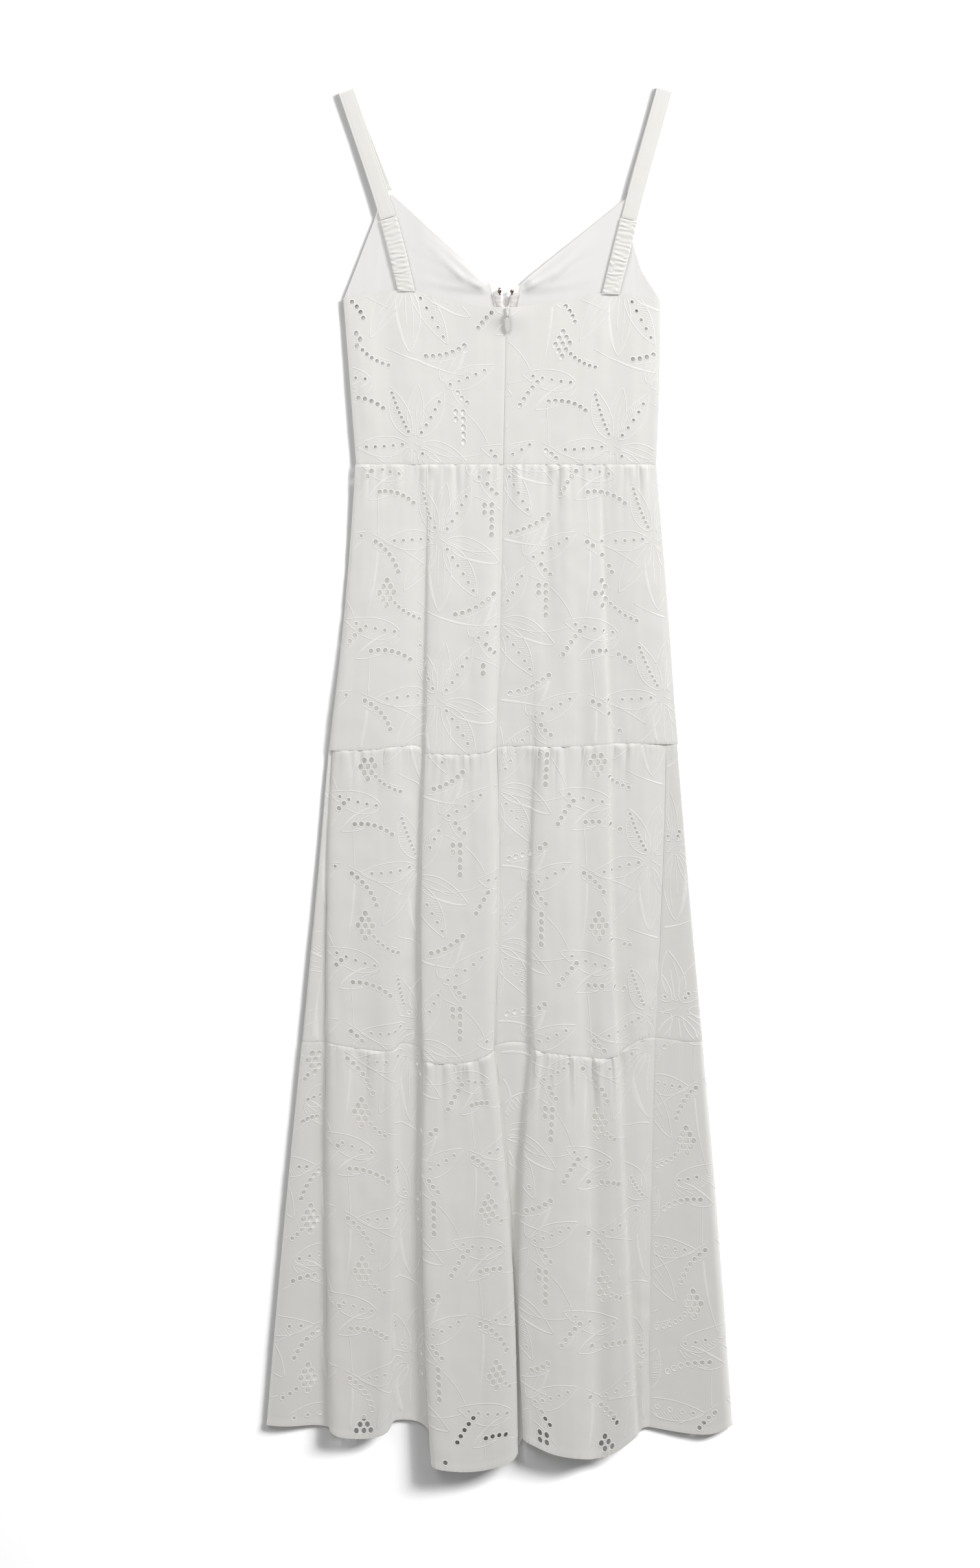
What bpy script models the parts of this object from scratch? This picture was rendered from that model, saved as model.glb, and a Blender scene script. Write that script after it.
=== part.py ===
"""An embroidered cotton dress, laid flat on its front with its back up.

Metres, +Z up. The origin is under the middle of the dress's box, on the surface that it lies on. +Y points
from the hem to the shoulders, and +X to the right as seen from above.

A cloth piece is a wall around a middle surface. The surface is carried from the piece's top edge to its
bottom edge by the rows of a table, one row for each fold, crest or valley across the piece. Sizes in the tables
are millimetres, and heights there are counted from where the cloth lies flat on the layer under it.
"""

import math

import bpy
import numpy as np
from mathutils import Vector, geometry

MM = 0.001

# Thicknesses and clearances
CLOTH = 1.1
STRAP = 1.6
ELASTIC = 2.0
GAP = 0.3
CLIMB_ROOM = 3.5
UNDER = CLOTH / 2
REST = UNDER + CLOTH + GAP + 0.05
BODICE = REST + CLOTH + GAP

# Seam lines
WAIST_Y = 313.9
CENTRE_TOP_Y = 471.0

# Neck ring: a bar bent to a U, with a ball on each end
RING_X = 6.0
RING_Y = 476.0
RING_Z = 3.6
RING_HALF = 6.1
RING_TOP_Y = 487.7
BAR = 1.0
BALL = 2.0
CHANNEL = BAR + GAP

# How the back bodice lifts over the foot of the ring, and how far from the centre back its mesh follows that
RING_LIFT = 3.4
RING_LIFT_Y = 469.0
RING_LIFT_REACH = 16.0
RING_LIFT_STATIONS = (5.0, 10.0, 15.0, 28.0)

# Zip
ZIP_X = 7.6
SLIDER_TOP_Y = 471.6
SLIDER_LONG = 9.4
SLIDER_WIDE = 3.4
SLIDER_THICK = 1.5
EYE_Y = 463.6
EYE_HALF = 2.0
EYE_POST = 0.8
EYE_WIDE = 1.4
EYE_TALL = 2.7
EYE_RISE = 0.95
SUNK = 0.3
PULL_LONG = 20.0
PULL_WIDE = 4.9
PULL_THICK = 1.2
PULL_TOP = 0.5
PULL_ARMS = 2.1
ARMS_LONG = 3.0
PULL_STEPS = 13
PULL_LEAN = math.radians(15.0)

# The window in the pull's head: half width, and how high its top and its foot are from the eye's axis
WINDOW = (1.15, -0.45, -3.6)
SLIDER_CLEAR = 0.4

# Embroidery repeat: how far apart like clusters lie, and each cluster's eyelets in steps across and down from
# its middle
REPEAT_WIDE = 165.0
REPEAT_TALL = 160.0
DIAMOND = ((0, -2), (-0.5, -1), (0.5, -1), (-1, 0), (0, 0), (1, 0), (-0.5, 1), (0.5, 1), (0, 2))
HAMMER = ((-0.5, -2.4), (0.5, -2.4), (-0.5, -1.2), (0.5, -1.2), (0.5, 0), (0.5, 1.2), (0.5, 2.4))
CLUSTER_SPOTS = ((28.0, 118.0, DIAMOND), (132.0, 44.0, HAMMER))
CLUSTER_STEP = (7.2, 6.2)
EYELET = (5.2, 6.2)
EYELET_SIDES = 6
EYELET_MARGIN = 6.0

# Where the repeat starts on a piece: millimetres along its section and down it
SKIRT_ORIGIN = (14.0, 12.0)
SKIRT_ORIGIN_STEP = (61.0, 47.0)
FRONT_ORIGIN = (-12.0, 20.0)
BODICE_ORIGINS = {"left": (-22.0, -74.0), "right": (28.0, -74.0)}

# How wide the front's cloth shows beside the left and the right side seam, for tiers 2 and 3
FLAPS = {2: (16.0, 26.0), 3: (40.0, 62.0)}

# How the mesh keeps clear of eyelets, and the most that the cloth may turn within one
CLEAR_OF_EYELET = 4.6
COLUMN_SHIFT = 6.0
MOST_TURN = math.radians(26.0)

# Left half of the back skirt, from the side seam to the centre back.
# x at: waist, mid tier 1, foot of tier 1, top of tier 2, mid tier 2, tier 2-3 seam, mid tier 3, hem
# z at: waist, mid tier 1, tier 1-2 seam, tier 2-3 seam, hem      y at: tier 1-2 seam, tier 2-3 seam, hem
BACK_LEFT = (
    ("side seam", (-144.4, -155.2, -171.4, -168.4, -173.9, -174.4, -174.4, -171.8),
     (1.4, 0.3, 0.0, 0.0, 0.0), (27.6, -265.0, -650.3)),
    ("fold A foot", (-143.2, -154.0, -169.8, -166.8, -172.4, -172.8, -172.8, -170.2),
     (1.5, 0.5, 0.1, 0.1, 0.1), (27.6, -265.0, -651.0)),
    ("fold A edge", (-141.6, -152.6, -169.2, -166.2, -172.0, -172.4, -172.4, -169.8),
     (2.1, 2.2, 2.9, 4.6, 7.0), (27.6, -265.5, -655.0)),
    ("fold A shoulder", (-134.0, -146.0, -162.0, -160.0, -164.0, -164.0, -163.0, -160.0),
     (2.5, 3.4, 4.2, 6.4, 9.8), (27.0, -267.5, -660.5)),
    ("fold A middle", (-117.0, -122.0, -132.0, -132.0, -135.0, -135.0, -135.0, -132.0),
     (2.2, 4.4, 4.4, 4.4, 8.0), (27.5, -272.5, -662.0)),
    ("fold A right", (-96.0, -99.0, -107.0, -107.0, -108.0, -109.0, -108.0, -114.0),
     (2.4, 3.6, 4.6, 6.0, 9.5), (30.5, -275.0, -657.0)),
    ("fold A drop", (-87.0, -89.0, -94.0, -94.0, -95.0, -103.5, -103.0, -109.0),
     (2.0, 2.3, 2.5, 3.0, 4.5), (32.0, -271.0, -650.0)),
    ("valley 1 in", (-81.0, -83.0, -87.5, -87.5, -88.0, -100.0, -101.0, -106.0),
     (1.6, 0.8, 0.3, 0.0, 0.0), (32.5, -265.5, -642.0)),
    ("valley 1 out", (-76.0, -77.0, -79.5, -79.5, -82.0, -82.0, -80.0, -73.0),
     (1.5, 0.5, 0.1, 0.0, 0.0), (31.5, -267.5, -645.0)),
    ("fold B foot", (-72.0, -72.5, -73.0, -73.0, -76.0, -73.5, -73.0, -64.5),
     (1.7, 1.0, 0.9, 1.0, 1.2), (25.5, -278.0, -676.0)),
    ("fold B edge", (-71.6, -73.0, -75.5, -75.5, -80.5, -78.0, -78.5, -69.5),
     (2.3, 3.0, 4.0, 6.5, 9.5), (25.0, -284.0, -688.0)),
    ("fold B shoulder", (-63.0, -65.0, -67.0, -67.0, -71.0, -69.0, -69.0, -60.0),
     (2.5, 4.2, 5.5, 8.5, 14.0), (24.0, -286.0, -692.3)),
    ("fold B middle", (-40.0, -38.0, -38.0, -38.0, -38.0, -38.0, -32.0, -25.0),
     (2.2, 3.6, 4.4, 6.5, 11.5), (22.5, -287.0, -695.0)),
    ("fold B right", (-14.0, -15.0, -17.0, -17.0, -14.0, -17.0, 3.0, 9.5),
     (2.4, 4.0, 5.0, 7.5, 12.5), (24.5, -281.0, -686.0)),
    ("fold B drop", (-4.0, -6.0, -8.0, -7.0, -5.0, -6.0, 12.0, 18.6),
     (2.0, 2.6, 3.0, 4.0, 7.5), (27.5, -274.0, -677.0)),
    ("fold B landing", (-0.6, -2.6, -6.4, -6.0, -4.0, -7.6, 10.4, 17.2),
     (1.6, 0.8, 0.3, 0.2, 0.3), (30.0, -269.0, -670.0)),
    ("centre back", (3.4, 1.0, -3.0, -2.0, -0.5, -4.5, 13.2, 20.2),
     (1.4, 0.5, 0.1, 0.0, 0.0), (30.5, -268.0, -668.0)),
)

# Right half of the back skirt, from the centre back to the side seam, with the same columns.
BACK_RIGHT = (
    ("centre back", (3.4, 1.0, -3.0, -2.0, -0.5, -4.5, 13.2, 20.2),
     (1.4, 0.5, 0.1, 0.0, 0.0), (30.5, -268.0, -668.0)),
    ("recess in", (14.0, 13.0, 13.0, 13.0, 14.0, 12.0, 16.2, 22.6),
     (2.0, 2.2, 0.3, 0.1, 0.2), (32.0, -264.0, -661.0)),
    ("recess out", (27.0, 28.0, 34.0, 34.0, 31.0, 34.0, 22.0, 25.4),
     (2.4, 3.3, 0.5, 0.2, 0.7), (32.0, -267.0, -660.5)),
    ("fold D edge", (38.0, 39.0, 38.0, 38.0, 30.8, 32.0, 18.4, 22.8),
     (2.2, 2.2, 3.4, 6.0, 8.0), (31.0, -271.0, -662.0)),
    ("fold D shoulder", (47.0, 47.0, 47.0, 47.0, 41.0, 42.0, 28.0, 32.0),
     (2.0, 1.4, 5.0, 8.0, 12.0), (30.8, -275.0, -667.0)),
    ("fold D ridge", (58.0, 60.0, 61.0, 61.0, 62.0, 64.0, 58.0, 56.0),
     (2.4, 3.4, 4.5, 8.5, 13.0), (31.0, -277.5, -678.0)),
    ("ridge right", (66.0, 69.0, 72.0, 72.0, 74.0, 79.0, 86.0, 86.0),
     (2.6, 4.2, 4.0, 7.4, 12.0), (31.3, -279.0, -681.5)),
    ("valley 3", (76.0, 79.0, 82.0, 82.0, 83.0, 88.0, 94.0, 96.0),
     (2.2, 3.6, 2.8, 3.4, 4.8), (31.6, -280.0, -681.5)),
    ("fold D right", (88.0, 92.0, 98.0, 98.0, 99.0, 103.0, 110.0, 113.0),
     (2.4, 4.2, 4.8, 6.6, 8.8), (32.4, -282.0, -678.0)),
    ("fold D drop", (100.0, 103.5, 111.0, 111.0, 111.5, 118.5, 127.0, 137.0),
     (2.4, 4.2, 4.6, 6.6, 8.6), (33.7, -278.5, -659.5)),
    ("fold D heel", (101.5, 104.5, 111.5, 111.5, 112.0, 119.0, 127.5, 137.5),
     (2.0, 1.8, 2.0, 2.6, 3.4), (34.0, -276.5, -658.0)),
    ("fold E foot", (103.5, 106.5, 113.5, 113.5, 114.0, 121.0, 129.5, 139.3),
     (1.9, 1.1, 0.6, 0.4, 0.5), (34.3, -275.0, -656.0)),
    ("fold E near", (108.0, 111.0, 119.0, 119.0, 119.0, 126.5, 134.0, 142.2),
     (2.2, 1.8, 1.0, 0.7, 0.6), (34.3, -271.0, -652.5)),
    ("fold E middle", (132.0, 136.0, 143.0, 140.0, 139.0, 139.0, 140.5, 144.6),
     (2.6, 3.4, 2.8, 2.0, 1.2), (34.3, -263.0, -651.0)),
    ("fold E right", (151.0, 160.0, 170.0, 158.0, 155.0, 150.0, 146.6, 147.2),
     (2.2, 2.0, 1.4, 0.7, 0.4), (33.8, -260.5, -650.5)),
    ("fold E turn", (155.6, 165.2, 176.4, 163.6, 160.4, 153.0, 149.4, 148.8),
     (1.5, 0.5, 0.1, 0.1, 0.1), (33.6, -260.5, -650.5)),
    ("side seam", (157.2, 167.2, 178.7, 167.0, 163.2, 155.4, 151.4, 150.0),
     (1.4, 0.3, 0.0, 0.0, 0.0), (33.6, -260.5, -650.5)),
)

# Front of tiers 2 and 3, from the left side seam over the left edge, along the floor, over the right edge.
# x at: top of tier 2, mid tier 2, tier 2-3 seam, mid tier 3, hem
# z at: tier 1-2 seam, tier 2-3 seam, hem      y at: tier 1-2 seam, tier 2-3 seam, hem
# FLAP rows are counted from where the cloth lies on the floor layer, and FLOOR rows lie on the floor.
FLAP, FLOOR = REST, UNDER
FRONT_SKIRT = (
    ("left seam", FLAP, (-168.4, -173.9, -174.4, -174.4, -171.8), (0.0, 0.0, 0.0), (27.6, -265.0, -650.3)),
    ("left valley", FLAP, (-169.2, -176.8, -182.0, -185.0, -185.0), (0.0, 0.0, 0.0), (27.6, -265.0, -648.0)),
    ("left crest", FLAP, (-170.4, -180.4, -190.4, -205.0, -214.0), (0.2, 1.8, 3.2), (27.6, -265.0, -650.2)),
    ("left edge top", FLAP, (-171.4, -184.0, -197.9, -216.6, -233.4), (0.3, 1.8, 2.4), (27.6, -265.0, -648.6)),
    ("left edge foot", FLOOR, (-171.4, -184.0, -197.9, -216.6, -233.4), (0.0, 0.0, 0.0),
     (27.6, -264.0, -648.4)),
    ("left under", FLOOR, (-162.0, -172.0, -186.0, -202.0, -218.0), (0.0, 0.0, 0.0), (29.0, -263.0, -646.0)),
    ("middle under", FLOOR, (0.0, 0.0, 0.0, 0.0, 0.0), (0.0, 0.0, 0.0), (31.0, -262.0, -638.0)),
    ("right under", FLOOR, (170.0, 180.0, 192.0, 205.0, 218.0), (0.0, 0.0, 0.0), (33.0, -262.0, -646.0)),
    ("right edge foot", FLOOR, (178.4, 190.4, 203.7, 219.6, 233.4), (0.0, 0.0, 0.0),
     (33.4, -264.0, -648.4)),
    ("right edge top", FLAP, (178.4, 190.4, 203.7, 219.6, 233.4), (0.4, 1.8, 2.4), (33.4, -264.6, -648.6)),
    ("right crest", FLAP, (175.0, 184.0, 193.0, 203.0, 214.0), (0.6, 2.2, 3.4), (33.4, -264.6, -658.6)),
    ("right slope", FLAP, (171.0, 173.0, 173.0, 176.0, 186.0), (0.2, 0.6, 1.2), (33.5, -263.0, -657.0)),
    ("right seam", FLAP, (167.0, 163.2, 155.4, 151.4, 150.0), (0.0, 0.0, 0.0), (33.6, -260.5, -650.5)),
)

# Front of tier 1, flat on the floor: x at waist, mid and foot, y at the foot.
FRONT_TIER_1 = (
    ("left edge", (-143.8, -154.2, -169.6), 27.6),
    ("left", (-136.0, -146.0, -161.0), 29.0),
    ("middle", (3.4, 1.0, -3.0), 31.0),
    ("right", (149.0, 161.0, 170.0), 33.0),
    ("right edge", (156.4, 168.6, 177.8), 33.4),
)

# Back bodice halves: x at top, mid and waist, height above the lining at top, mid and waist, y of the top.
BODICE_LEFT = (
    ("side seam", (-156.8, -150.2, -143.8), (0.0, 0.0, 0.0), 480.7),
    ("side", (-152.0, -146.0, -139.6), (0.8, 0.9, 0.8), 481.4),
    ("armpit fold", (-140.0, -136.0, -130.0), (0.8, 2.6, 0.6), 483.5),
    ("side panel", (-124.0, -116.0, -112.0), (0.4, 0.6, 0.8), 486.0),
    ("strap left", (-103.8, -98.0, -94.0), (0.2, 1.6, 0.6), 488.8),
    ("strap right", (-84.5, -80.0, -76.0), (0.2, 1.2, 0.8), 488.8),
    ("neck", (-46.0, -44.0, -42.0), (0.4, 0.6, 0.6), 477.0),
    ("neck low", (-14.0, -14.0, -14.0), (0.4, 0.4, 0.6), 472.0),
    ("centre back", (6.8, 5.2, 3.6), (0.2, 0.2, 0.2), CENTRE_TOP_Y),
)
BODICE_RIGHT = (
    ("centre back", (6.8, 5.2, 3.6), (0.2, 0.2, 0.2), CENTRE_TOP_Y),
    ("neck low", (20.0, 20.0, 20.0), (0.4, 0.4, 0.6), 471.8),
    ("neck", (70.0, 66.0, 64.0), (0.4, 0.8, 0.6), 478.0),
    ("strap left", (101.5, 97.0, 94.0), (0.2, 1.2, 0.8), 485.9),
    ("strap right", (121.5, 117.0, 114.0), (0.2, 0.6, 0.6), 485.9),
    ("armpit fold", (143.0, 142.0, 140.0), (0.6, 1.8, 0.6), 481.5),
    ("side", (156.4, 155.6, 152.6), (0.8, 0.9, 0.8), 480.0),
    ("side seam", (161.2, 160.2, 157.0), (0.0, 0.0, 0.0), 479.3),
)

# Front bodice halves, flat: x at the top edge and at the waist, y of the top edge. The neck runs down to the
# keyhole between the two cuffs.
FRONT_BODICE_LEFT = (
    ("side seam", -156.2, -143.2, 480.5),
    ("armhole", -123.5, -128.0, 565.2),
    ("apex outer", -120.9, -118.0, 583.4),
    ("apex inner", -107.3, -108.0, 585.3),
    ("neck", -60.0, -62.0, 541.4),
    ("neck end", -4.7, -24.0, 491.1),
    ("cuff corner", 1.0, -18.0, 485.6),
    ("keyhole side", 2.0, -12.0, 477.0),
    ("keyhole bend", 3.4, -5.0, 473.4),
    ("centre front", RING_X, 3.6, 472.0),
)
FRONT_BODICE_RIGHT = (
    ("centre front", RING_X, 3.6, 472.0),
    ("keyhole bend", 8.6, 12.0, 473.4),
    ("keyhole side", 10.0, 19.0, 477.0),
    ("cuff corner", 11.0, 25.0, 485.6),
    ("neck end", 18.9, 32.0, 493.7),
    ("neck", 74.0, 58.0, 538.6),
    ("apex inner", 124.2, 74.0, 579.5),
    ("apex outer", 138.6, 80.0, 582.4),
    ("armhole top", 134.6, 92.0, 556.0),
    ("armhole middle", 134.2, 124.0, 534.6),
    ("armhole curve", 142.6, 142.0, 508.0),
    ("side seam", 160.6, 156.4, 479.4),
)

# Cup linings: as the front bodice, stopping short of the cuffs.
LINING_LEFT = (
    ("side seam", -155.6, -142.6, 480.3),
    ("armhole", -122.6, -127.0, 564.6),
    ("apex outer", -120.2, -117.0, 582.6),
    ("apex inner", -107.6, -107.0, 584.2),
    ("neck", -60.4, -62.0, 540.6),
    ("neck end", -9.6, -26.0, 494.2),
    ("cuff side", -6.6, -22.0, 478.0),
    ("under cuff", -5.0, -18.0, 466.6),
    ("centre front", RING_X, 3.6, 466.4),
)
LINING_RIGHT = (
    ("centre front", RING_X, 3.6, 466.4),
    ("under cuff", 17.0, 22.0, 466.6),
    ("cuff side", 18.6, 26.0, 478.0),
    ("neck end", 22.4, 30.0, 495.8),
    ("neck", 74.0, 58.0, 537.6),
    ("apex inner", 124.6, 68.0, 578.6),
    ("apex outer", 137.4, 74.0, 581.4),
    ("armhole top", 133.6, 91.0, 556.0),
    ("armhole middle", 133.2, 122.0, 534.6),
    ("armhole curve", 141.6, 141.0, 508.0),
    ("side seam", 160.0, 155.8, 479.2),
)

# Soft creases of the linings: where each starts at its cuff, its heading in degrees, length, height and half
# width. They end where the back bodice starts to cover them.
CREASE_FOOT_Y = 484.0
CREASES_LEFT = (
    ("along the neck", (-10.0, 490.0), 143.0, 84.0, 3.4, 5.0),
    ("middle", (-9.5, 486.0), 156.0, 84.0, 3.2, 5.0),
)
CREASES_RIGHT = (
    ("along the neck", (22.0, 490.5), 39.0, 86.0, 3.4, 5.0),
    ("middle", (21.5, 486.0), 25.0, 82.0, 3.2, 5.0),
)

# Gathers under each seam: how many in the left and the right half, how high, and how far down they run.
GATHERS = {1: (13, 14, 2.2, 62.0), 2: (13, 14, 2.4, 70.0), 3: (14, 15, 3.0, 85.0)}

# Straps, middle line from the cup's apex over the shoulder fold to the back: x, y, height, and the lean of
# the strap's cross line in degrees.
STRAP_WIDE = 16.0
STRAP_LEFT = (
    ("cup end", -115.2, 586.8, STRAP / 2, 20.9),
    ("front", -133.0, 631.0, STRAP / 2, 20.9),
    ("fold foot", -152.8, 684.9, STRAP / 2, 20.9),
    ("fold below", -154.1, 688.6, STRAP / 2, 20.9),
    ("fold above", -154.1, 688.6, 3.6, 20.9),
    ("fold back", -152.8, 684.9, 3.6, 20.9),
    ("back", -138.6, 643.0, 3.4, 19.0),
    ("above the cup", -123.4, 598.3, 3.9, 18.0),
    ("back end", -111.9, 561.2, 4.1, 17.0),
)
STRAP_RIGHT = (
    ("cup end", 134.8, 585.2, STRAP / 2, -16.2),
    ("front", 148.6, 633.0, STRAP / 2, -16.2),
    ("fold foot", 164.4, 687.0, STRAP / 2, -16.2),
    ("fold below", 165.5, 690.6, STRAP / 2, -16.2),
    ("fold above", 165.5, 690.6, 3.6, -16.2),
    ("fold back", 164.4, 687.0, 3.6, -16.2),
    ("back", 152.8, 645.0, 3.4, -15.5),
    ("above the cup", 139.5, 598.3, 3.9, -15.0),
    ("back end", 129.6, 559.5, 4.1, -14.5),
)
ELASTIC_WIDE = 18.0
ELASTIC_RUCHES = 22
RUCHE_HIGH = 0.8
ELASTIC_LEFT = (
    ("foot", -93.9, 489.3, 4.2, 0.0),
    ("middle", -102.4, 525.5, 4.2, 14.0),
    ("top", -111.8, 560.7, 4.2, 17.0),
)
ELASTIC_RIGHT = (
    ("foot", 111.4, 486.4, 4.2, 0.0),
    ("middle", 120.4, 523.0, 4.2, -14.0),
    ("top", 129.5, 559.0, 4.2, -14.5),
)

# Cuffs: ruched tubes of cloth around the legs of the neck ring
CUFF_RUCHES = 4
CUFF_INNER = 2.1
CUFF_OUTER = 7.2
CUFF_FOOT = 2.4
CUFF_THICK = 2.0
CUFF_SLANT = 0.46
CUFF_START = 4.0
CUFF_SWELL = 0.11
CUFF_SIDES = 8


def blend_weights(t):
    """For each t, the nearest control row and the weights of the rows before, at and after it."""
    nearest = np.floor(t + 0.5).astype(int)
    f = t - nearest
    return nearest, 0.5 * (0.5 - f) ** 2, 0.75 - f * f, 0.5 * (0.5 + f) ** 2


def rounded(rows, t):
    """A curve that rounds the corners of the rows' polygon and ends on its end rows."""
    rows = np.asarray(rows, float)
    first, last = 2 * rows[:1] - rows[1:2], 2 * rows[-1:] - rows[-2:-1]
    padded = np.concatenate([first, rows, last])
    nearest, before, at, after = blend_weights(t)
    return (
        padded[nearest] * before[:, None]
        + padded[nearest + 1] * at[:, None]
        + padded[nearest + 2] * after[:, None]
    )


def straight(rows, t):
    """The rows' polygon itself."""
    rows = np.asarray(rows, float)
    return np.stack([np.interp(t, np.arange(len(rows)), column) for column in rows.T], axis=1)


def carried(levels, v):
    """A value down the piece: from two levels along a line, from three along a curve through all of them."""
    if levels.shape[1] == 2:
        return levels[:, 0] * (1 - v) + levels[:, 1] * v
    top, middle, foot = levels.T
    return top * (1 - v) * (1 - 2 * v) + middle * 4 * v * (1 - v) + foot * v * (2 * v - 1)


class Surface:
    """The middle of a cloth piece. A point on it is s along the section and d down the piece, in mm."""

    def __init__(self, x, y, z, outline=rounded, relief=None, ribbon=False):
        self.x, self.y, self.z = (np.asarray(levels, float) for levels in (x, y, z))
        self.outline, self.relief, self.ribbon = outline, relief, ribbon
        self.last = len(self.x) - 1
        self.t = np.linspace(0, self.last, 24 * self.last + 1)
        middle = self.bare(self.t, np.full(len(self.t), 0.5))
        self.s = np.concatenate([[0], np.cumsum(np.linalg.norm(np.diff(middle, axis=0), axis=1))])
        self.width = self.s[-1]
        across = self.bare(self.t, np.zeros(len(self.t))) - self.bare(self.t, np.ones(len(self.t)))
        self.height = float(np.median(np.linalg.norm(across, axis=1)))

    def bare(self, t, v):
        x = carried(self.outline(self.x, t), v)
        y = carried(self.outline(self.y, t), v)
        return np.stack([x, y, carried(rounded(self.z, t), v)], axis=1)

    def smooth_point(self, s, d):
        return self.bare(np.interp(s, self.s, self.t), d / self.height)

    def point(self, s, d):
        s, d = np.atleast_1d(s).astype(float), np.atleast_1d(d).astype(float)
        at = self.smooth_point(s, d)
        if self.relief is not None:
            at[:, 2] += self.relief(self, s, d, at) * self.flatness(s, d)
        return at

    def flatness(self, s, d, near=3.0):
        """1 where the section runs level and nothing near it is steep, 0 where it stands up or turns under."""
        least = np.ones(len(s))
        for aside in (-near, 0.0, near):
            run = self.along(self.smooth_point, s + aside, d)
            level = np.clip(run[:, 0] / np.maximum(np.linalg.norm(run[:, [0, 2]], axis=1), 1e-9), 0, 1)
            least = np.minimum(least, level**4)
        return least

    def along(self, place, s, d, step=CLOTH / 2):
        s = np.clip(s, step, self.width - step)
        return (place(s + step, d) - place(s - step, d)) / (2 * step)

    def down(self, s, d, step=0.25):
        d = np.clip(d, step, self.height - step)
        return (self.point(s, d + step) - self.point(s, d - step)) / (2 * step)

    def normal(self, s, d):
        """Square to the section. On a ribbon, square to the ribbon."""
        run = self.along(self.point, s, d)
        if self.ribbon:
            n = np.cross(self.down(s, d), run)
        else:
            n = np.stack([-run[:, 2], np.zeros(len(run)), run[:, 0]], axis=1)
        return n / np.linalg.norm(n, axis=1, keepdims=True)

    def stretch(self, s, d):
        """How far the surface goes for each millimetre of s and of d."""
        return (
            float(np.linalg.norm(self.along(self.point, s, d)[0])),
            float(np.linalg.norm(self.down(s, d)[0])),
        )


def gather_relief(half, tier):
    """Ridges that start at the piece's top seam and fade out down it, uneven in place, height and length."""
    count, high, reach = GATHERS[tier][half], GATHERS[tier][2], GATHERS[tier][3]
    k = np.arange(count)
    seed = 1.3 * tier + 2.1 * half
    centre = (k + 0.5 + 0.26 * np.sin(2.4 * k + seed)) / count
    tall = high * (0.68 + 0.32 * np.sin(1.7 * k + 2 * seed))
    long = reach * (0.62 + 0.38 * np.cos(2.9 * k + seed))

    def relief(surface, s, d, at):
        away = (s[:, None] / surface.width - centre) * count
        ridge = np.clip(np.cos(np.pi * np.clip(away, -0.5, 0.5)), 0, 1)
        from_end = np.clip(np.minimum(s, surface.width - s) / 7.0, 0, 1)
        fade = np.clip(1 - d[:, None] / long, 0, 1) ** 1.4
        rise = np.clip(d[:, None] / 4 + 0.2, 0, 1)
        return (tall * ridge * fade * rise).sum(axis=1) * from_end

    relief.stations = np.sort(np.concatenate([centre, (centre[1:] + centre[:-1]) / 2]))
    return relief


def crease_relief(creases):
    """Ridges that fan out from a cuff, widening and sinking as they go."""

    def relief(surface, s, d, at):
        total = np.zeros(len(s))
        for _, (x, y), heading, long, high, wide in creases:
            run = (math.cos(math.radians(heading)), math.sin(math.radians(heading)))
            ahead = (at[:, 0] - x) * run[0] + (at[:, 1] - y) * run[1]
            aside = (at[:, 0] - x) * -run[1] + (at[:, 1] - y) * run[0]
            part = np.clip(ahead / long, 0, 1)
            half = wide * (0.7 + 1.2 * part)
            fade = np.clip(ahead / 8 + 0.3, 0, 1) * (1 - part) ** 1.2
            total += high * fade * np.exp(-((aside / half) ** 2))
        open_air = np.clip((at[:, 1] - CREASE_FOOT_Y) / 8.0, 0, 1)
        return total * open_air

    return relief


def ring_relief(surface, s, d, at):
    """The back bodice lifts over the foot of the neck ring."""
    away = np.hypot(at[:, 0] - RING_X, at[:, 1] - RING_LIFT_Y)
    return RING_LIFT * np.exp(-((away / RING_LIFT_REACH) ** 4))


def inside_loop(points, centre, half):
    """Which points lie in an eyelet."""
    away = (points - centre) / half
    return np.hypot(away[:, 0], away[:, 1]) < 0.9


def eyelets_on(surface, origin, flaps=None):
    """Middle and half size, in s and d, of each eyelet that fits on the piece. The repeat's columns are half
    dropped. With flaps, only the stretches within those widths of the two side seams are cut."""
    found = []
    columns = range(-1, int(surface.width / REPEAT_WIDE) + 2)
    rows = range(-2, int(surface.height / REPEAT_TALL) + 2)
    for i in columns:
        for j in rows:
            for right, under, cluster in CLUSTER_SPOTS:
                s0 = origin[0] + i * REPEAT_WIDE + right
                d0 = origin[1] + (j + 0.5 * (i % 2)) * REPEAT_TALL + under
                if not (0 < s0 < surface.width and 0 < d0 < surface.height):
                    continue
                along, down = surface.stretch(s0, d0)
                for p, q in cluster:
                    s, d = s0 + p * CLUSTER_STEP[0] / along, d0 + q * CLUSTER_STEP[1] / down
                    half = np.array([EYELET[0] / 2 / along, EYELET[1] / 2 / down])
                    if cuttable(surface, s, d, flaps):
                        found.append((np.array([s, d]), half))
    return found


def cuttable(surface, s, d, flaps):
    margin = EYELET_MARGIN
    if not (margin < s < surface.width - margin and margin < d < surface.height - margin):
        return False
    if flaps and not (s < flaps[0] - margin or s > surface.width - flaps[1] + margin):
        return False
    before, after = surface.normal(np.array([s - 5.0, s + 5.0]), np.array([d, d]))
    return math.acos(min(1.0, float(before @ after))) < MOST_TURN


def spread(stations, nearest=1.25):
    """Stations in order, without those that nearly meet the one before. The two ends stay."""
    kept = [stations[0]]
    for here in stations[1:-1]:
        if here - kept[-1] > nearest and stations[-1] - here > nearest:
            kept.append(here)
    return np.array(kept + [stations[-1]])


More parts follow.
